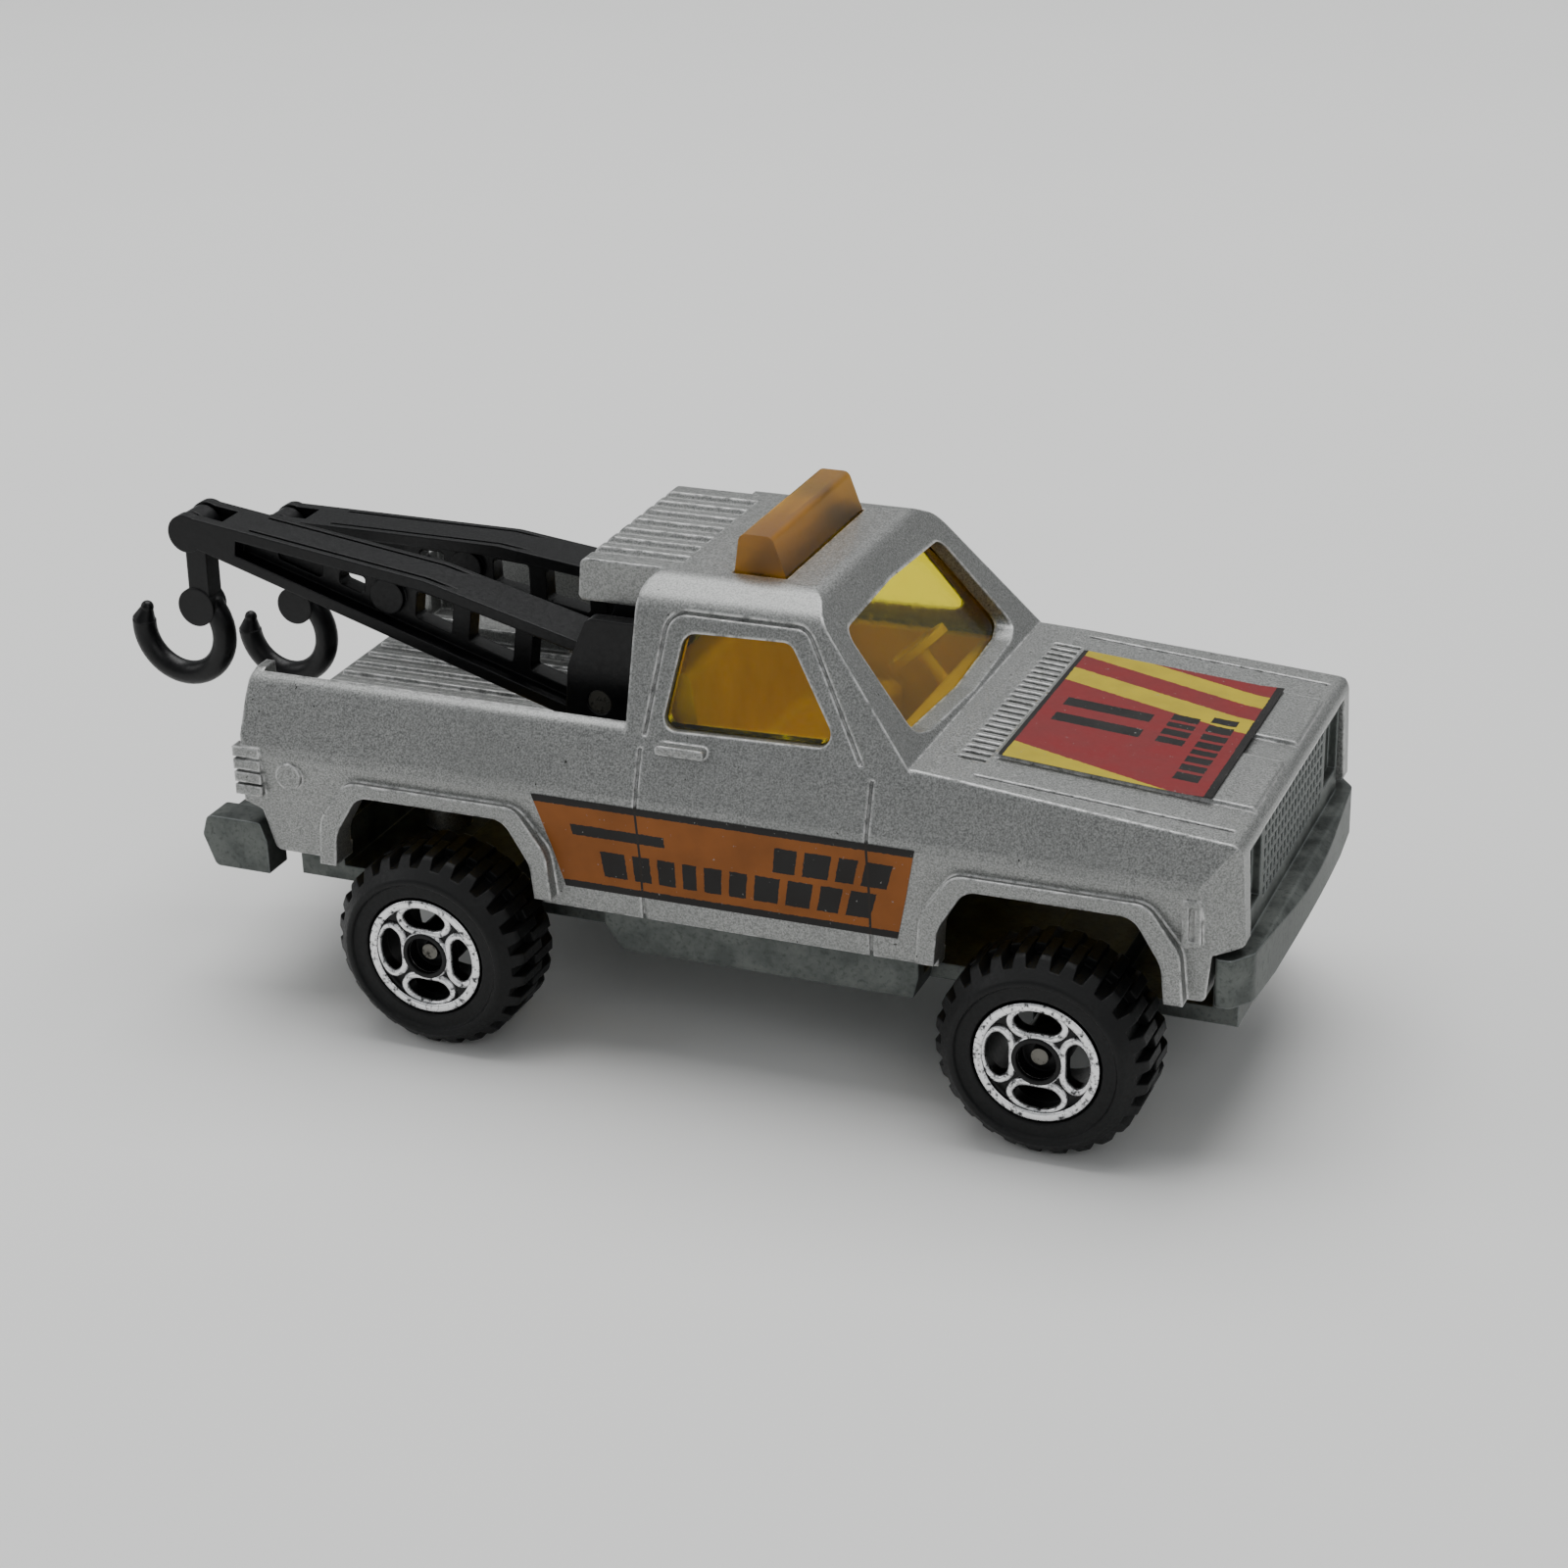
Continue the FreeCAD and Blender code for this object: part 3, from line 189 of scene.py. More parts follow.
# %% bare casting
def bare_zinc():
    """Dulled casting metal: cloudy oxide, fine pits, pale high edges."""
    material, tree = new_material("bare zinc casting, dulled")
    where = add(tree, "TexCoord", output="Object")
    cloud = add(tree, "TexNoise", {"Vector": where, "Scale": per_mm(3.0), "Detail": 5.0, "Roughness": 0.65})
    pits = add(tree, "TexNoise", {"Vector": where, "Scale": per_mm(0.35), "Detail": 3.0, "Roughness": 0.6})
    rounded, edge = edges(tree, 0.25, 0.05, 0.30)
    oxide = add(tree, "MapRange", {"Value": cloud, "From Min": 0.38, "From Max": 0.62})
    base = add(tree, "Mix", {"Factor": oxide, "A": linear("#4d514f"),
                             "B": linear("#6b6f6c")}, data_type="RGBA")
    pitted = add(tree, "MapRange", {"Value": pits, "From Min": 0.52, "From Max": 0.7, "To Max": 0.5})
    base = add(tree, "Mix", {"Factor": pitted, "A": base, "B": linear("#353937")}, data_type="RGBA")
    bright = add(tree, "Math", {0: edge, 1: 0.7}, operation="MULTIPLY")
    base = add(tree, "Mix", {"Factor": bright, "A": base, "B": linear("#a3a8a8")}, data_type="RGBA")
    gloss = add(tree, "MapRange", {"Value": cloud, "From Min": 0.3, "From Max": 0.7, "To Min": 0.4,
                                   "To Max": 0.62})
    skin = add(tree, "Bump", {"Height": pits, "Distance": 0.03 * MM, "Strength": 0.5, "Normal": rounded})
    shader = add(tree, "BsdfPrincipled", {"Base Color": base, "Roughness": gloss, "Normal": skin,
                                          "Metallic": 0.8})
    add(tree, "OutputMaterial", {"Surface": shader})
    return material


FINISH["bare_casting"] = bare_zinc()
print("bare zinc:", len(FINISH["bare_casting"].node_tree.nodes), "nodes")

# %% [markdown]
# ## Moulded plastics
# Booms and hooks are black polyethylene with a satin skin and fine scuffs. The tyres are a duller, softer
# black. The inside of the cab is one yellow moulding. All are dielectrics, so metallic stays at zero.

# %% moulded plastics
def moulded_plastic(name, dark, light, scuffed, roughness, scuff_mm, depth_mm, shine):
    """Moulded plastic: broad colour drift, pale scuffs along rounded edges, and a fine skin."""
    material, tree = new_material(name)
    where = add(tree, "TexCoord", output="Object")
    broad = add(tree, "TexNoise", {"Vector": where, "Scale": per_mm(scuff_mm * 6), "Detail": 3.0})
    fine = add(tree, "TexNoise", {"Vector": where, "Scale": per_mm(scuff_mm), "Detail": 3.0,
                                  "Roughness": 0.65})
    rounded, edge = edges(tree, 0.18, 0.06, 0.35)
    drift = add(tree, "MapRange", {"Value": broad, "From Min": 0.3, "From Max": 0.7})
    base = add(tree, "Mix", {"Factor": drift, "A": linear(dark), "B": linear(light)}, data_type="RGBA")
    patchy = add(tree, "MapRange", {"Value": fine, "From Min": 0.46, "From Max": 0.62, "To Max": 0.7})
    pale_edge = add(tree, "Math", {0: edge, 1: patchy}, operation="MULTIPLY")
    base = add(tree, "Mix", {"Factor": pale_edge, "A": base, "B": linear(scuffed)}, data_type="RGBA")
    gloss = add(tree, "MapRange", {"Value": fine, "From Min": 0.3, "From Max": 0.7,
                                   "To Min": roughness - 0.08, "To Max": roughness + 0.1})
    skin = add(tree, "Bump", {"Height": fine, "Distance": depth_mm * MM, "Strength": 0.4, "Normal": rounded})
    shader = add(tree, "BsdfPrincipled", {"Base Color": base, "Roughness": gloss, "Normal": skin, "IOR": 1.5,
                                          "Specular IOR Level": shine})
    add(tree, "OutputMaterial", {"Surface": shader})
    return material


FINISH["yellow_plastic"] = moulded_plastic("yellow moulded polystyrene", "#efc404", "#ffd81a", "#fbe468",
                                           0.42, 0.6, 0.02, 0.5)
FINISH["black_plastic"] = moulded_plastic("black polyethylene", "#030304", "#08080a", "#2c2d30",
                                          0.36, 0.35, 0.03, 0.3)
FINISH["wheel_plastic"] = moulded_plastic("black wheel plastic", "#030304", "#0a0a0b", "#252629",
                                          0.40, 0.3, 0.02, 0.3)
FINISH["tyre_plastic"] = moulded_plastic("soft tyre plastic", "#040505", "#090a0b", "#16171a",
                                         0.50, 0.25, 0.04, 0.3)
print("finishes so far:", ", ".join(FINISH))

# %% [markdown]
# ## Clear amber polystyrene
# Windows and beacon are one injection of tinted polystyrene, about 0.8 mm thick. Blue light is absorbed
# inside it, a little of the green, and almost no red: thin windows look yellow and the thick beacon amber.

# %% clear amber
FROST_START, FROST_FULL = ROOF_Z - 0.3 * MM, ROOF_Z + 0.2 * MM


def amber_clear():
    """Tinted clear plastic: absorption inside, ripples and haze on its faces, a frosted beacon."""
    material, tree = new_material("clear amber polystyrene")
    where = add(tree, "TexCoord", output="Object")
    ripple = add(tree, "TexNoise", {"Vector": where, "Scale": per_mm(3.0), "Detail": 2.0})
    haze = add(tree, "TexNoise", {"Vector": where, "Scale": per_mm(0.6), "Detail": 3.0, "Roughness": 0.7})
    drift = add(tree, "MapRange", {"Value": ripple, "From Min": 0.3, "From Max": 0.7})
    base = add(tree, "Mix", {"Factor": drift, "A": linear("#fff6cf"),
                             "B": linear("#fffadd")}, data_type="RGBA")
    gloss = add(tree, "MapRange", {"Value": haze, "From Min": 0.5, "From Max": 0.8, "To Min": 0.04,
                                   "To Max": 0.2})
    height = add(tree, "SeparateXYZ", {"Vector": where}, output="Z")
    frosted = add(tree, "MapRange", {"Value": height, "From Min": FROST_START, "From Max": FROST_FULL})
    base = add(tree, "Mix", {"Factor": frosted, "A": base, "B": linear("#ffc23a")}, data_type="RGBA")
    gloss = add(tree, "Math", {0: frosted, 1: 0.45, 2: gloss}, operation="MULTIPLY_ADD")
    skin = add(tree, "Bump", {"Height": ripple, "Distance": 0.05 * MM, "Strength": 0.2})
    shader = add(tree, "BsdfPrincipled", {"Base Color": base, "Roughness": gloss, "Normal": skin,
                                          "Transmission Weight": 1.0, "IOR": 1.59,
                                          "Specular IOR Level": 0.3})
    tint = add(tree, "VolumeAbsorption", {"Color": (0.998, 0.990, 0.25, 1.0), "Density": 2.2 / MM})
    add(tree, "OutputMaterial", {"Surface": shader, "Volume": tint})
    return material


FINISH["amber_clear"] = amber_clear()
print("amber roof beacon starts at z = %.1f mm" % (ROOF_Z / MM))

# %% [markdown]
# ## Bright metals
# The axles and the cross pin are turned steel, dulled by handling. The wheels are printed with silver foil,
# which is brighter and has worn through in spots less than half a millimetre across.

# %% bright metals
def bright_metal(name, colour, worn_colour, roughness):
    """Bright metal with small dull patches and fine grain."""
    material, tree = new_material(name)
    where = add(tree, "TexCoord", output="Object")
    patch = add(tree, "TexNoise", {"Vector": where, "Scale": per_mm(0.45), "Detail": 4.0, "Roughness": 0.7})
    dull = add(tree, "MapRange", {"Value": patch, "From Min": 0.52, "From Max": 0.64})
    base = add(tree, "Mix", {"Factor": dull, "A": linear(colour),
                             "B": linear(worn_colour)}, data_type="RGBA")
    gloss = add(tree, "MapRange", {"Value": patch, "From Min": 0.3, "From Max": 0.7,
                                   "To Min": roughness, "To Max": roughness + 0.25})
    skin = add(tree, "Bump", {"Height": patch, "Distance": 0.02 * MM, "Strength": 0.3})
    shader = add(tree, "BsdfPrincipled", {"Base Color": base, "Roughness": gloss, "Normal": skin,
                                          "Metallic": 1.0})
    add(tree, "OutputMaterial", {"Surface": shader})
    return material


FINISH["steel"] = bright_metal("turned steel, dulled", "#77756f", "#3d3b37", 0.36)
FOIL = bright_metal("hot-stamped silver foil", "#f4f4f5", "#4a4a4c", 0.22)
print("metals:", FINISH["steel"].name, "and", FOIL.name)

# %% [markdown]
# ## Each piece gets its finish
# The record names a material slot for every construction piece, and the finish of that slot goes on it.

# %% give out the finishes
for subpart in frame["record"]["subparts"]:
    node = frame["nodes"][subpart["node"]]
    node.data.materials.clear()
    node.data.materials.append(FINISH[subpart["material_slot"]])
print("finishes:", ", ".join(sorted(FINISH)))

# %% [markdown]
# ## Grids and swept loops
# Every new piece is a surface of two parameters. The whole grid of points is computed as one array, and the
# faces follow from the grid's shape.

# %% grid to mesh
def grid_object(name, points, closed_u=False, closed_v=False, uv=None):
    """Mesh from an (n, m, 3) array of points: each cell of the grid becomes one quad."""
    n, m = points.shape[:2]
    i = np.arange(n if closed_u else n - 1)[:, None]
    j = np.arange(m if closed_v else m - 1)[None, :]
    corners = [(i, j), (i + 1, j), (i + 1, j + 1), (i, j + 1)]
    quads = np.stack([((a % n) * m + b % m) + 0 * i + 0 * j for a, b in corners], axis=-1).reshape(-1, 4)
    mesh = bpy.data.meshes.new(name)
    mesh.from_pydata(points.reshape(-1, 3).tolist(), [], quads.tolist())
    mesh.polygons.foreach_set("use_smooth", [True] * len(mesh.polygons))
    if uv is not None:
        layer = mesh.uv_layers.new(name="print")
        layer.data.foreach_set("uv", uv.reshape(-1, 2)[quads.ravel()].ravel())
    piece = bpy.data.objects.new(name, mesh)
    bpy.context.scene.collection.objects.link(piece)
    return piece


print("a 3 by 4 grid of points makes", (3 - 1) * (4 - 1), "quads, and a closed one", 3 * 4)

# %% [markdown]
# ## Foil on the wheels
# The wheels are black plastic. A hot stamp presses silver foil onto whatever stands proud of the face: the
# outer ring, the lip of the hub hole and a lip round each bean-shaped window. Each lip is a rounded ridge
# carried round a closed path, and its worn foil lets the black through.

# %% closed paths on the wheel's face
def power_wave(wave, exponent):
    """Sign-keeping power of a sine or cosine: a low exponent squares the corners of the loop."""
    return np.sign(wave) * np.abs(wave) ** exponent


def bean_path(turn, count=72):
    """Window outline: radius 2.85 + 1.08 s, angle turn + 0.66 c, with s and c squared-up sine and cosine."""
    t = np.linspace(0, 2 * np.pi, count, endpoint=False)
    radius = (2.85 + 1.08 * power_wave(np.sin(t), 0.8)) * MM
    angle = turn + 0.66 * power_wave(np.cos(t), 0.8)
    return np.stack([radius * np.cos(angle), radius * np.sin(angle)], axis=1)


def circle_path(radius, count=72):
    """Circle of a radius about the wheel's axis."""
    t = np.linspace(0, 2 * np.pi, count, endpoint=False)
    return np.stack([radius * np.cos(t), radius * np.sin(t)], axis=1)


print("window outline, first point in mm:", np.round(bean_path(0.0)[0] / MM, 2))

# %% a ridge along a path
def ridge(path, width, height, base):
    """Half-round ridge along a closed (x, z) path: offset across by cos, raised along y by sin."""
    tangent = np.roll(path, -1, axis=0) - np.roll(path, 1, axis=0)
    tangent /= np.linalg.norm(tangent, axis=1, keepdims=True)
    across = np.stack([tangent[:, 1], -tangent[:, 0]], axis=1)
    a = np.linspace(0, np.pi, 7)
    flat = path[:, None, :] + across[:, None, :] * (np.cos(a) * width / 2)[None, :, None]
    out = base + height * np.sin(a) ** 0.6
    return np.stack([flat[:, :, 0], np.broadcast_to(out, flat.shape[:2]), flat[:, :, 1]], axis=2)


print("one ridge has", ridge(circle_path(MM), MM, MM, 0.0).shape[:2], "points")

# %% foil lips
RIM_R = (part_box("front_right_rim")[1][0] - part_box("front_right_rim")[0][0]) / 2
HUB_LIP_R = 1.62 * MM
LIP_W, LIP_H = 0.54 * MM, 0.32 * MM
RING_W, RING_H = 0.60 * MM, 0.10 * MM
HUB_W, HUB_H = 0.46 * MM, 0.37 * MM
FACE_DROP = 0.45 * MM
FOIL_SINK = 0.02 * MM


def wheel_foil(axle_name, side):
    """All foil lips of one wheel, joined into one mesh and turned to face its side of the truck."""
    name = f"{axle_name}_{'left' if side > 0 else 'right'}"
    low, high = (Vector(v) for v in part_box(name + "_rim"))
    middle = (low + high) / 2
    face = abs(high.y if side > 0 else low.y)
    loops = [ridge(bean_path(k * np.pi / 2), LIP_W, LIP_H, face - FACE_DROP - FOIL_SINK) for k in range(4)]
    loops.append(ridge(circle_path(RIM_R - 0.55 * RING_W), RING_W, RING_H, face - FOIL_SINK))
    loops.append(ridge(circle_path(HUB_LIP_R), HUB_W, HUB_H, face - FACE_DROP))
    parts = []
    for index, loop in enumerate(loops):
        loop = loop * [1, side, 1] + [middle.x, 0, middle.z]
        parts.append(grid_object(f"{name}_foil_{index}", loop, closed_u=True))
    with bpy.context.temp_override(active_object=parts[0], selected_editable_objects=parts):
        bpy.ops.object.join()
    foil = parts[0]
    foil.name = name + "_foil"
    foil.data.materials.append(FOIL)
    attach(foil, axle_name + "_wheels")
    return foil


for axle_name in ("front", "rear"):
    for side in (-1, 1):
        wheel_foil(axle_name, side)
print("foil lips on four wheels, rim radius %.2f mm" % (RIM_R / MM))

# %% [markdown]
# ## Printed labels
# A label on each door and one on the bonnet are thin printed films. Each is a fine grid dropped onto the
# body, so it follows the creases, and stretched over the narrow grooves as a film is. The door seams show
# through as thin dark lines. The prints are plain: borders, stripes and blocks drawn from the UV map.

# %% print shapes
def stamp(tree, u, v, boxes):
    """1 inside any of the boxes (u0, u1, v0, v1): |u - middle| and |v - middle| both within half a side."""
    total = None
    for u0, u1, v0, v1 in boxes:
        across = add(tree, "Math", {0: u, 1: (u0 + u1) / 2, 2: (u1 - u0) / 2}, operation="COMPARE")
        along = add(tree, "Math", {0: v, 1: (v0 + v1) / 2, 2: (v1 - v0) / 2}, operation="COMPARE")
        box = add(tree, "Math", {0: across, 1: along}, operation="MULTIPLY")
        total = add(tree, "Math", {0: total, 1: box}, operation="MAXIMUM") if total else box
    return total


def row(start, widths, gap, low, high):
    """Boxes of the given widths set side by side with one gap, all between two heights."""
    boxes = []
    for width in widths:
        boxes.append((start, start + width, low, high))
        start += width + gap
    return boxes


print("a row of three blocks:", row(0.1, [0.05, 0.07, 0.05], 0.02, 0.2, 0.4))

# %% printed film
SHAKE = 0.04            # mm that a printed edge wanders
SEAM_HALF_W = 0.09      # mm


def film(name, size_mm, lean, draw, specular, seams=()):
    """Printed film: a shaken UV map, a drawn print, seam lines, pinhole chips, uneven gloss."""
    material, tree = new_material(name)
    where = add(tree, "TexCoord", output="Object")
    chip = add(tree, "TexNoise", {"Vector": where, "Scale": per_mm(0.38), "Detail": 3.0, "Roughness": 0.75})
    shake = add(tree, "TexNoise", {"Vector": where, "Scale": per_mm(0.35), "Detail": 3.0, "Roughness": 0.7})
    tone = add(tree, "TexNoise", {"Vector": where, "Scale": per_mm(2.5), "Detail": 3.0})
    uv = add(tree, "UVMap", uv_map="print")
    u, v = (add(tree, "SeparateXYZ", {"Vector": uv}, output=axis) for axis in "XY")
    u = add(tree, "Math", {0: v, 1: lean, 2: u}, operation="MULTIPLY_ADD")
    wobble = add(tree, "MapRange", {"Value": shake, "From Min": 0.3, "From Max": 0.7,
                                    "To Min": -SHAKE, "To Max": SHAKE})
    u, v = (add(tree, "Math", {0: wobble, 1: 1 / side, 2: value}, operation="MULTIPLY_ADD")
            for side, value in zip(size_mm, (u, v)))
    base = draw(tree, u, v)
    if seams:
        x = add(tree, "SeparateXYZ", {"Vector": where}, output="X")
        spans = [(SHIFT + (at - SEAM_HALF_W) * MM, SHIFT + (at + SEAM_HALF_W) * MM) for at in seams]
        line = stamp(tree, x, x, [span * 2 for span in spans])
        base = add(tree, "Mix", {"Factor": line, "A": base, "B": linear("#1a120c")}, data_type="RGBA")
    shade = add(tree, "MapRange", {"Value": tone, "From Min": 0.3, "From Max": 0.7, "To Max": 0.22})
    base = add(tree, "Mix", {"Factor": shade, "A": base, "B": linear("#1e130b")}, data_type="RGBA")
    bare = add(tree, "MapRange", {"Value": chip, "From Min": 0.69, "From Max": 0.71})
    base = add(tree, "Mix", {"Factor": bare, "A": base, "B": linear("#8f8f8b")}, data_type="RGBA")
    gloss = add(tree, "MapRange", {"Value": tone, "From Min": 0.3, "From Max": 0.7, "To Min": 0.34,
                                   "To Max": 0.5})
    skin = add(tree, "Bump", {"Height": shake, "Distance": 0.01 * MM, "Strength": 0.3})
    shader = add(tree, "BsdfPrincipled", {"Base Color": base, "Roughness": gloss, "Normal": skin,
                                          "Specular IOR Level": specular})
    add(tree, "OutputMaterial", {"Surface": shader})
    return material


print("printed edges wander by", SHAKE, "mm")

# %% door print
def door_print(tree, u, v):
    """Burnt orange with black borders above and below, one bar and two rows of plain blocks."""
    borders, bar = [(-1, 2, 0.925, 2), (-1, 2, -1, 0.075)], [(0.06, 0.32, 0.60, 0.72)]
    upper = row(0.62, [0.06, 0.07, 0.05, 0.07], 0.02, 0.52, 0.80)
    lower = row(0.13, [0.07, 0.05, 0.05, 0.04, 0.05, 0.05, 0.07, 0.07, 0.06, 0.07], 0.022, 0.17, 0.45)
    black = stamp(tree, u, v, borders + bar + upper + lower)
    return add(tree, "Mix", {"Factor": black, "A": linear("#8c4d0a"), "B": linear("#0e0c0b")},
               data_type="RGBA")


DOOR_SEAMS = (-7.96, 9.04)      # mm along X from the middle between the axles
DOOR_PRINT = film("burnt orange printed film", (27.0, 7.1), -0.03, door_print, 0.3, DOOR_SEAMS)
print("door print:", len(DOOR_PRINT.node_tree.nodes), "nodes")

# %% bonnet print
def bonnet_print(tree, u, v):
    """Dark red crossed by slanting yellow stripes, black end lines, two bars and two rows of blocks."""
    slant = add(tree, "Math", {0: u, 1: 0.17, 2: v}, operation="MULTIPLY_ADD")
    yellow = stamp(tree, u, slant, [(-1, 2, 0.955, 1.06), (-1, 2, 0.72, 0.84), (-1, 2, -1, 0.135)])
    base = add(tree, "Mix", {"Factor": yellow, "A": linear("#7d1f22"),
                             "B": linear("#b9a51f")}, data_type="RGBA")
    front = row(0.10, [0.06, 0.05, 0.05, 0.04, 0.05, 0.05, 0.06, 0.05], 0.02, 0.78, 0.90)
    behind = row(0.36, [0.05, 0.05, 0.04, 0.05], 0.02, 0.60, 0.73)
    bars, ends = [(0.36, 0.43, 0.10, 0.52), (0.50, 0.57, 0.10, 0.52)], [(-1, 2, -1, 0.022), (-1, 2, 0.962, 2)]
    black = stamp(tree, v, u, front + behind + bars + ends)
    return add(tree, "Mix", {"Factor": black, "A": base, "B": linear("#0f0d0c")}, data_type="RGBA")


BONNET_PRINT = film("red and yellow printed film", (14.8, 19.6), 0.0, bonnet_print, 0.35)
print("bonnet print:", len(BONNET_PRINT.node_tree.nodes), "nodes")

# %% [markdown]
# ## Laying the films
# A ray from each grid point finds the body below it. The heights found are then closed: every dip narrower
# than twice the reach, counted in cells, is filled, and wider shapes are left as they are.

# %% how a film lies
FILM_T = 0.04 * MM


def spread(depths, reach, pick):
    """Each value becomes the pick (max or min) of its neighbours up to reach cells away, along both axes."""
    for axis in (0, 1):
        pad = [(reach, reach) if k == axis else (0, 0) for k in (0, 1)]
        padded = np.pad(depths, pad, mode="edge")
        slices = [np.take(padded, range(k, k + depths.shape[axis]), axis=axis) for k in range(2 * reach + 1)]
        depths = pick(np.stack(slices), axis=0)
    return depths


def lay_label(name, corners, count, axis, reach, material):
    """Grid between four corners, dropped onto the body along one axis and closed over narrow grooves."""
    n, m = count
    s, t = np.meshgrid(np.linspace(0, 1, n), np.linspace(0, 1, m), indexing="ij")
    a, b, c, d = (np.array(p, dtype=float) for p in corners)
    s3, t3 = s[..., None], t[..., None]
    points = ((a * (1 - s3) + b * s3) * (1 - t3) + (d * (1 - s3) + c * s3) * t3 + [SHIFT / MM, 0, 0]) * MM
    side = math.copysign(1.0, corners[0][axis])
    inward = Vector([-side if k == axis else 0.0 for k in range(3)])
    body = frame["nodes"]["body_shell"]
    heights = [side * body.ray_cast(Vector(p), inward)[1][axis] for p in points.reshape(-1, 3)]
    heights = spread(spread(np.array(heights).reshape(n, m), reach, np.max), reach, np.min)
    points[..., axis] = side * (heights + FILM_T)
    label = grid_object(name, points, uv=np.stack([s, t], axis=-1))
    label.data.materials.append(material)
    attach(label, "truck")
    return label


print("a film lies", FILM_T / MM, "mm above the paint")

# %% lay the labels
ASIDE_Y, ABOVE_Z = 25, 40       # mm: the rays start outside the body
DOOR_LOW, DOOR_HIGH = 13.3, 20.4
BONNET_X0, BONNET_X1, BONNET_HALF_W = 16.2, 31.0, 9.8
for side, name in ((-1, "right_door_label"), (1, "left_door_label")):
    y = side * ASIDE_Y
    door = [(-13.9, y, DOOR_LOW), (11.0, y, DOOR_LOW), (12.5, y, DOOR_HIGH), (-15.9, y, DOOR_HIGH)]
    if side > 0:
        door = [door[1], door[0], door[3], door[2]]
    lay_label(name, door, (180, 48), 1, 3, DOOR_PRINT)
bonnet = [(BONNET_X0, -BONNET_HALF_W, ABOVE_Z), (BONNET_X1, -BONNET_HALF_W, ABOVE_Z),
          (BONNET_X1, BONNET_HALF_W, ABOVE_Z), (BONNET_X0, BONNET_HALF_W, ABOVE_Z)]
lay_label("bonnet_label", bonnet, (74, 99), 2, 9, BONNET_PRINT)
print("three labels laid")

# %% [markdown]
# ## Floor, light and camera
# A pale seamless sweep, one large soft light above, and weaker ones in front and to the left.

# %% floor
def stage_material():
    """Pale matt paper with a faint broad variation."""
    material, tree = new_material("pale matt paper")
    where = add(tree, "TexCoord", output="Object")
    cloud = add(tree, "TexNoise", {"Vector": where, "Scale": per_mm(60.0), "Detail": 2.0})
    tone = add(tree, "Mix", {"Factor": cloud, "A": linear("#e6e6e5"),
                             "B": linear("#ebebe9")}, data_type="RGBA")
    shader = add(tree, "BsdfPrincipled", {"Base Color": tone, "Roughness": 0.75, "Specular IOR Level": 0.3})
    add(tree, "OutputMaterial", {"Surface": shader})
    return material


def sweep():
    """Floor that curves up into a backdrop: y runs back, then a quarter circle, then straight up."""
    half_width, front, back, radius, height = 3.0, -2.0, 1.6, 0.8, 2.5
    angle = np.linspace(0, math.pi / 2, 24)
    y = np.concatenate([[front], back + radius * np.sin(angle), [back + radius]])
    z = np.concatenate([[0], radius * (1 - np.cos(angle)), [height]])
    x = np.array([-half_width, half_width])
    points = np.stack([np.repeat(x, len(y)), np.tile(y, 2), np.tile(z, 2)], axis=1)
    n = len(y)
    faces = [(i, i + n, i + n + 1, i + 1) for i in range(n - 1)]
    mesh = bpy.data.meshes.new("sweep")
    mesh.from_pydata(points.tolist(), [], faces)
    mesh.polygons.foreach_set("use_smooth", [True] * len(mesh.polygons))
    floor = bpy.data.objects.new("sweep", mesh)
    bpy.context.scene.collection.objects.link(floor)
    mesh.materials.append(stage_material())
    return floor


floor = sweep()
print("floor:", floor.name, "of", len(floor.data.polygons), "faces")


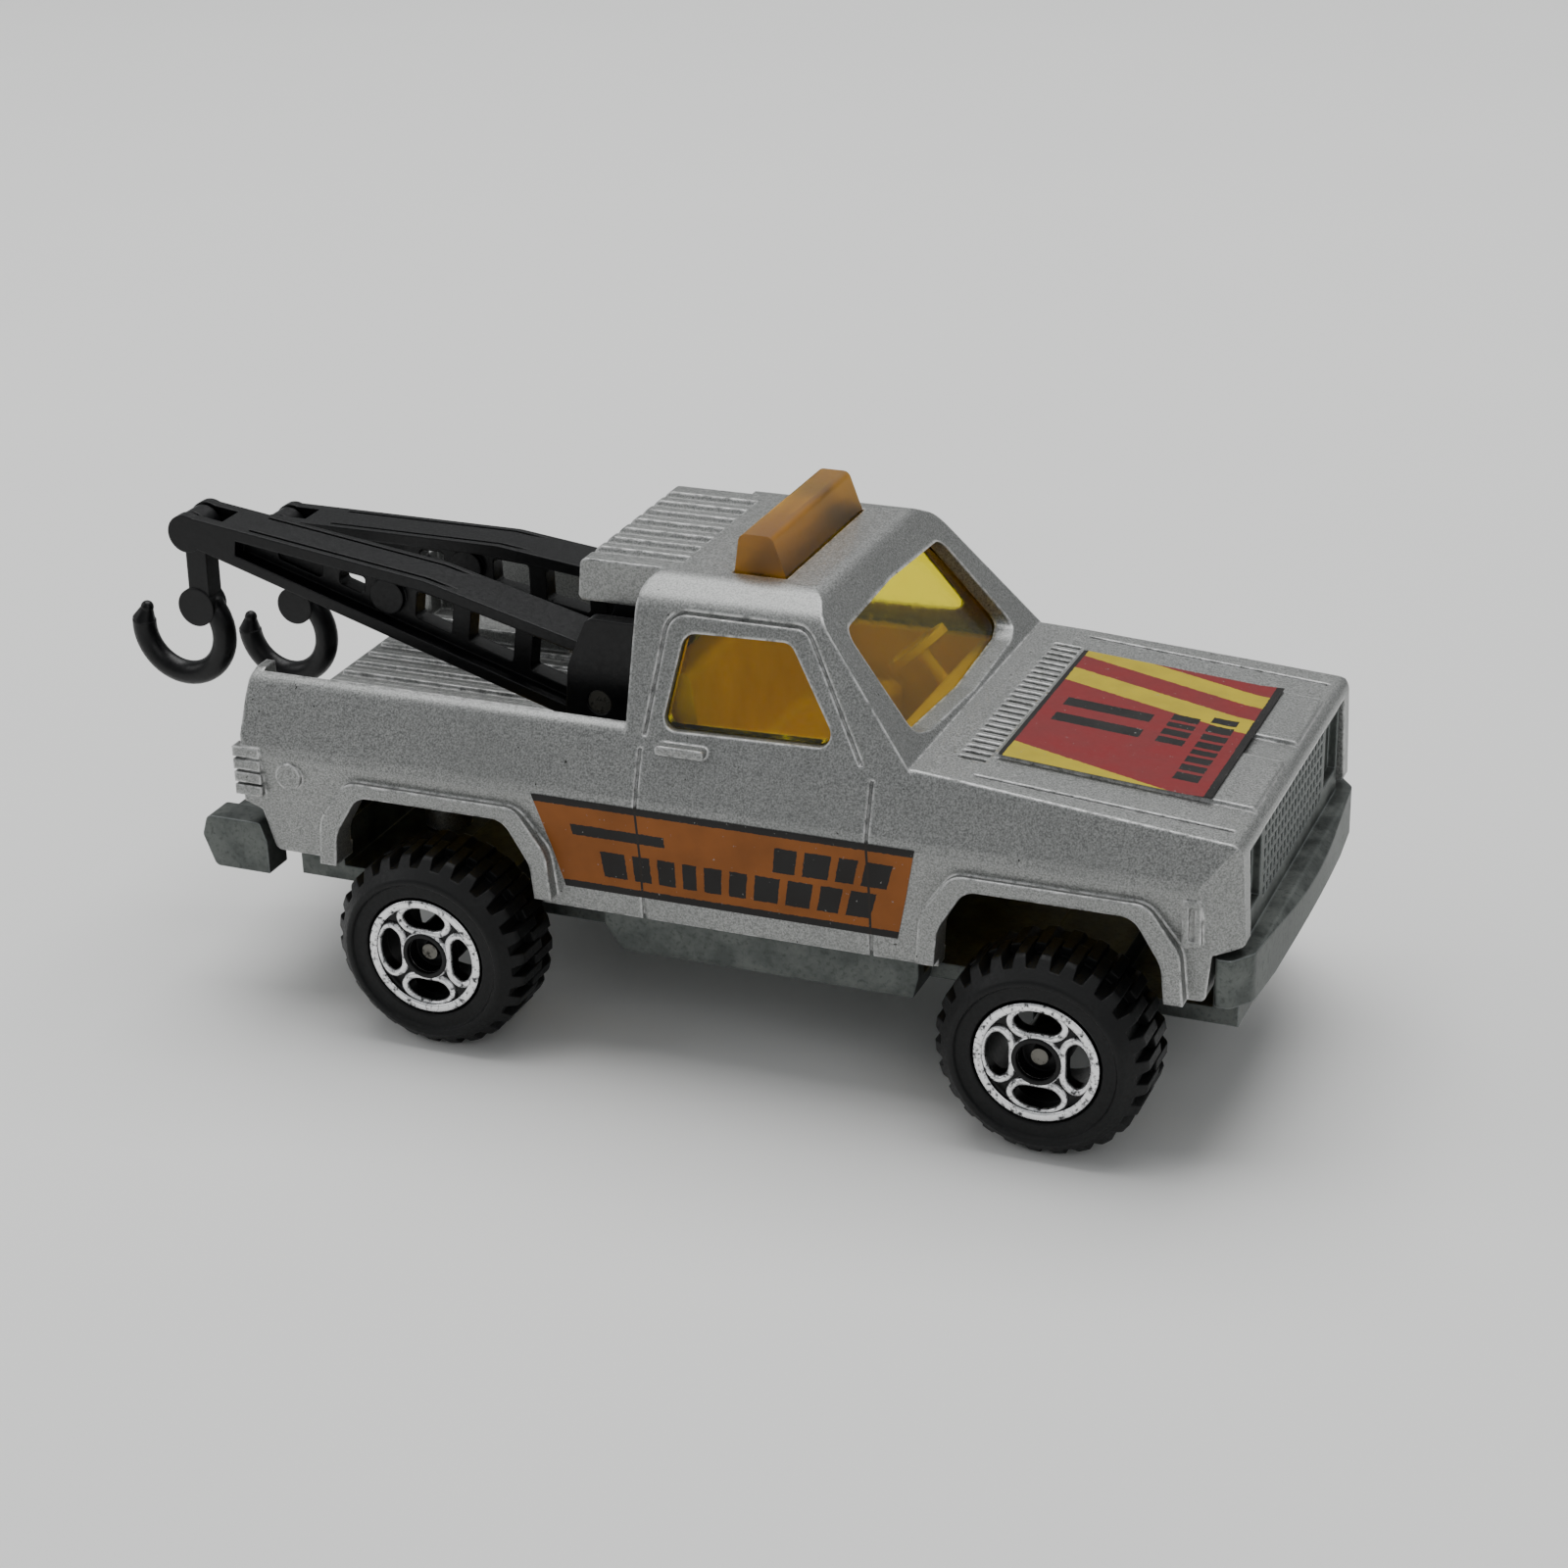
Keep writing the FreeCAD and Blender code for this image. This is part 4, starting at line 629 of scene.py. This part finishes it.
# %% light
def softbox(name, place, target, size, power):
    """Square area light at a place, facing a target."""
    data = bpy.data.lights.new(name, "AREA")
    data.shape, data.size, data.energy = "SQUARE", size, power
    light = bpy.data.objects.new(name, data)
    bpy.context.scene.collection.objects.link(light)
    away = Vector(place) - Vector(target)
    light.matrix_world = Matrix.Translation(place) @ away.to_track_quat("Z", "Y").to_matrix().to_4x4()
    return light


softbox("top light", (-0.05, 0.20, 0.75), (0, 0, 0.02), 0.7, 6.6)
softbox("front light", (0.55, -0.65, 0.55), (0, 0, 0.02), 0.5, 1.0)
softbox("left light", (-0.75, -0.25, 0.5), (0, 0, 0.02), 0.5, 1.3)
world = bpy.data.worlds.new("soft room")
world.use_nodes = True
room = world.node_tree.nodes["Background"]
room.inputs["Color"].default_value = linear("#dfe2e4")
room.inputs["Strength"].default_value = 0.46
bpy.context.scene.world = world
print("lights:", [light.name for light in bpy.data.lights])

# %% [markdown]
# ## Camera
# The camera stands to the right of the nose and looks slightly down on the truck, as one looks at a toy on
# a table. Its place is given from the middle between the axles.

# %% camera
CAMERA_AZIMUTH, CAMERA_ELEVATION, CAMERA_ROLL = 22.79, 24.38, -1.58     # degrees
CAMERA_PLACE = (78.52, -195.18, 112.01)                                 # mm


def add_camera():
    """Camera from its azimuth, elevation and roll, placed on the frame of the axles."""
    azimuth, elevation, roll = (math.radians(a) for a in (CAMERA_AZIMUTH, CAMERA_ELEVATION, CAMERA_ROLL))
    place = Vector(CAMERA_PLACE) * MM + Vector((SHIFT, 0, 0))
    back = Vector((math.sin(azimuth) * math.cos(elevation), -math.cos(azimuth) * math.cos(elevation),
                   math.sin(elevation)))
    right = Vector((math.cos(azimuth), math.sin(azimuth), 0))
    up = back.cross(right)
    x_axis = right * math.cos(roll) + up * math.sin(roll)
    y_axis = up * math.cos(roll) - right * math.sin(roll)
    data = bpy.data.cameras.new("camera")
    data.sensor_width, data.lens = 36.0, 73.1
    data.clip_start = 0.01
    camera = bpy.data.objects.new("camera", data)
    bpy.context.scene.collection.objects.link(camera)
    turn = Matrix((x_axis, y_axis, back)).transposed().to_4x4()
    camera.matrix_world = Matrix.Translation(place) @ turn
    bpy.context.scene.camera = camera


add_camera()
print("camera:", bpy.context.scene.camera.name)
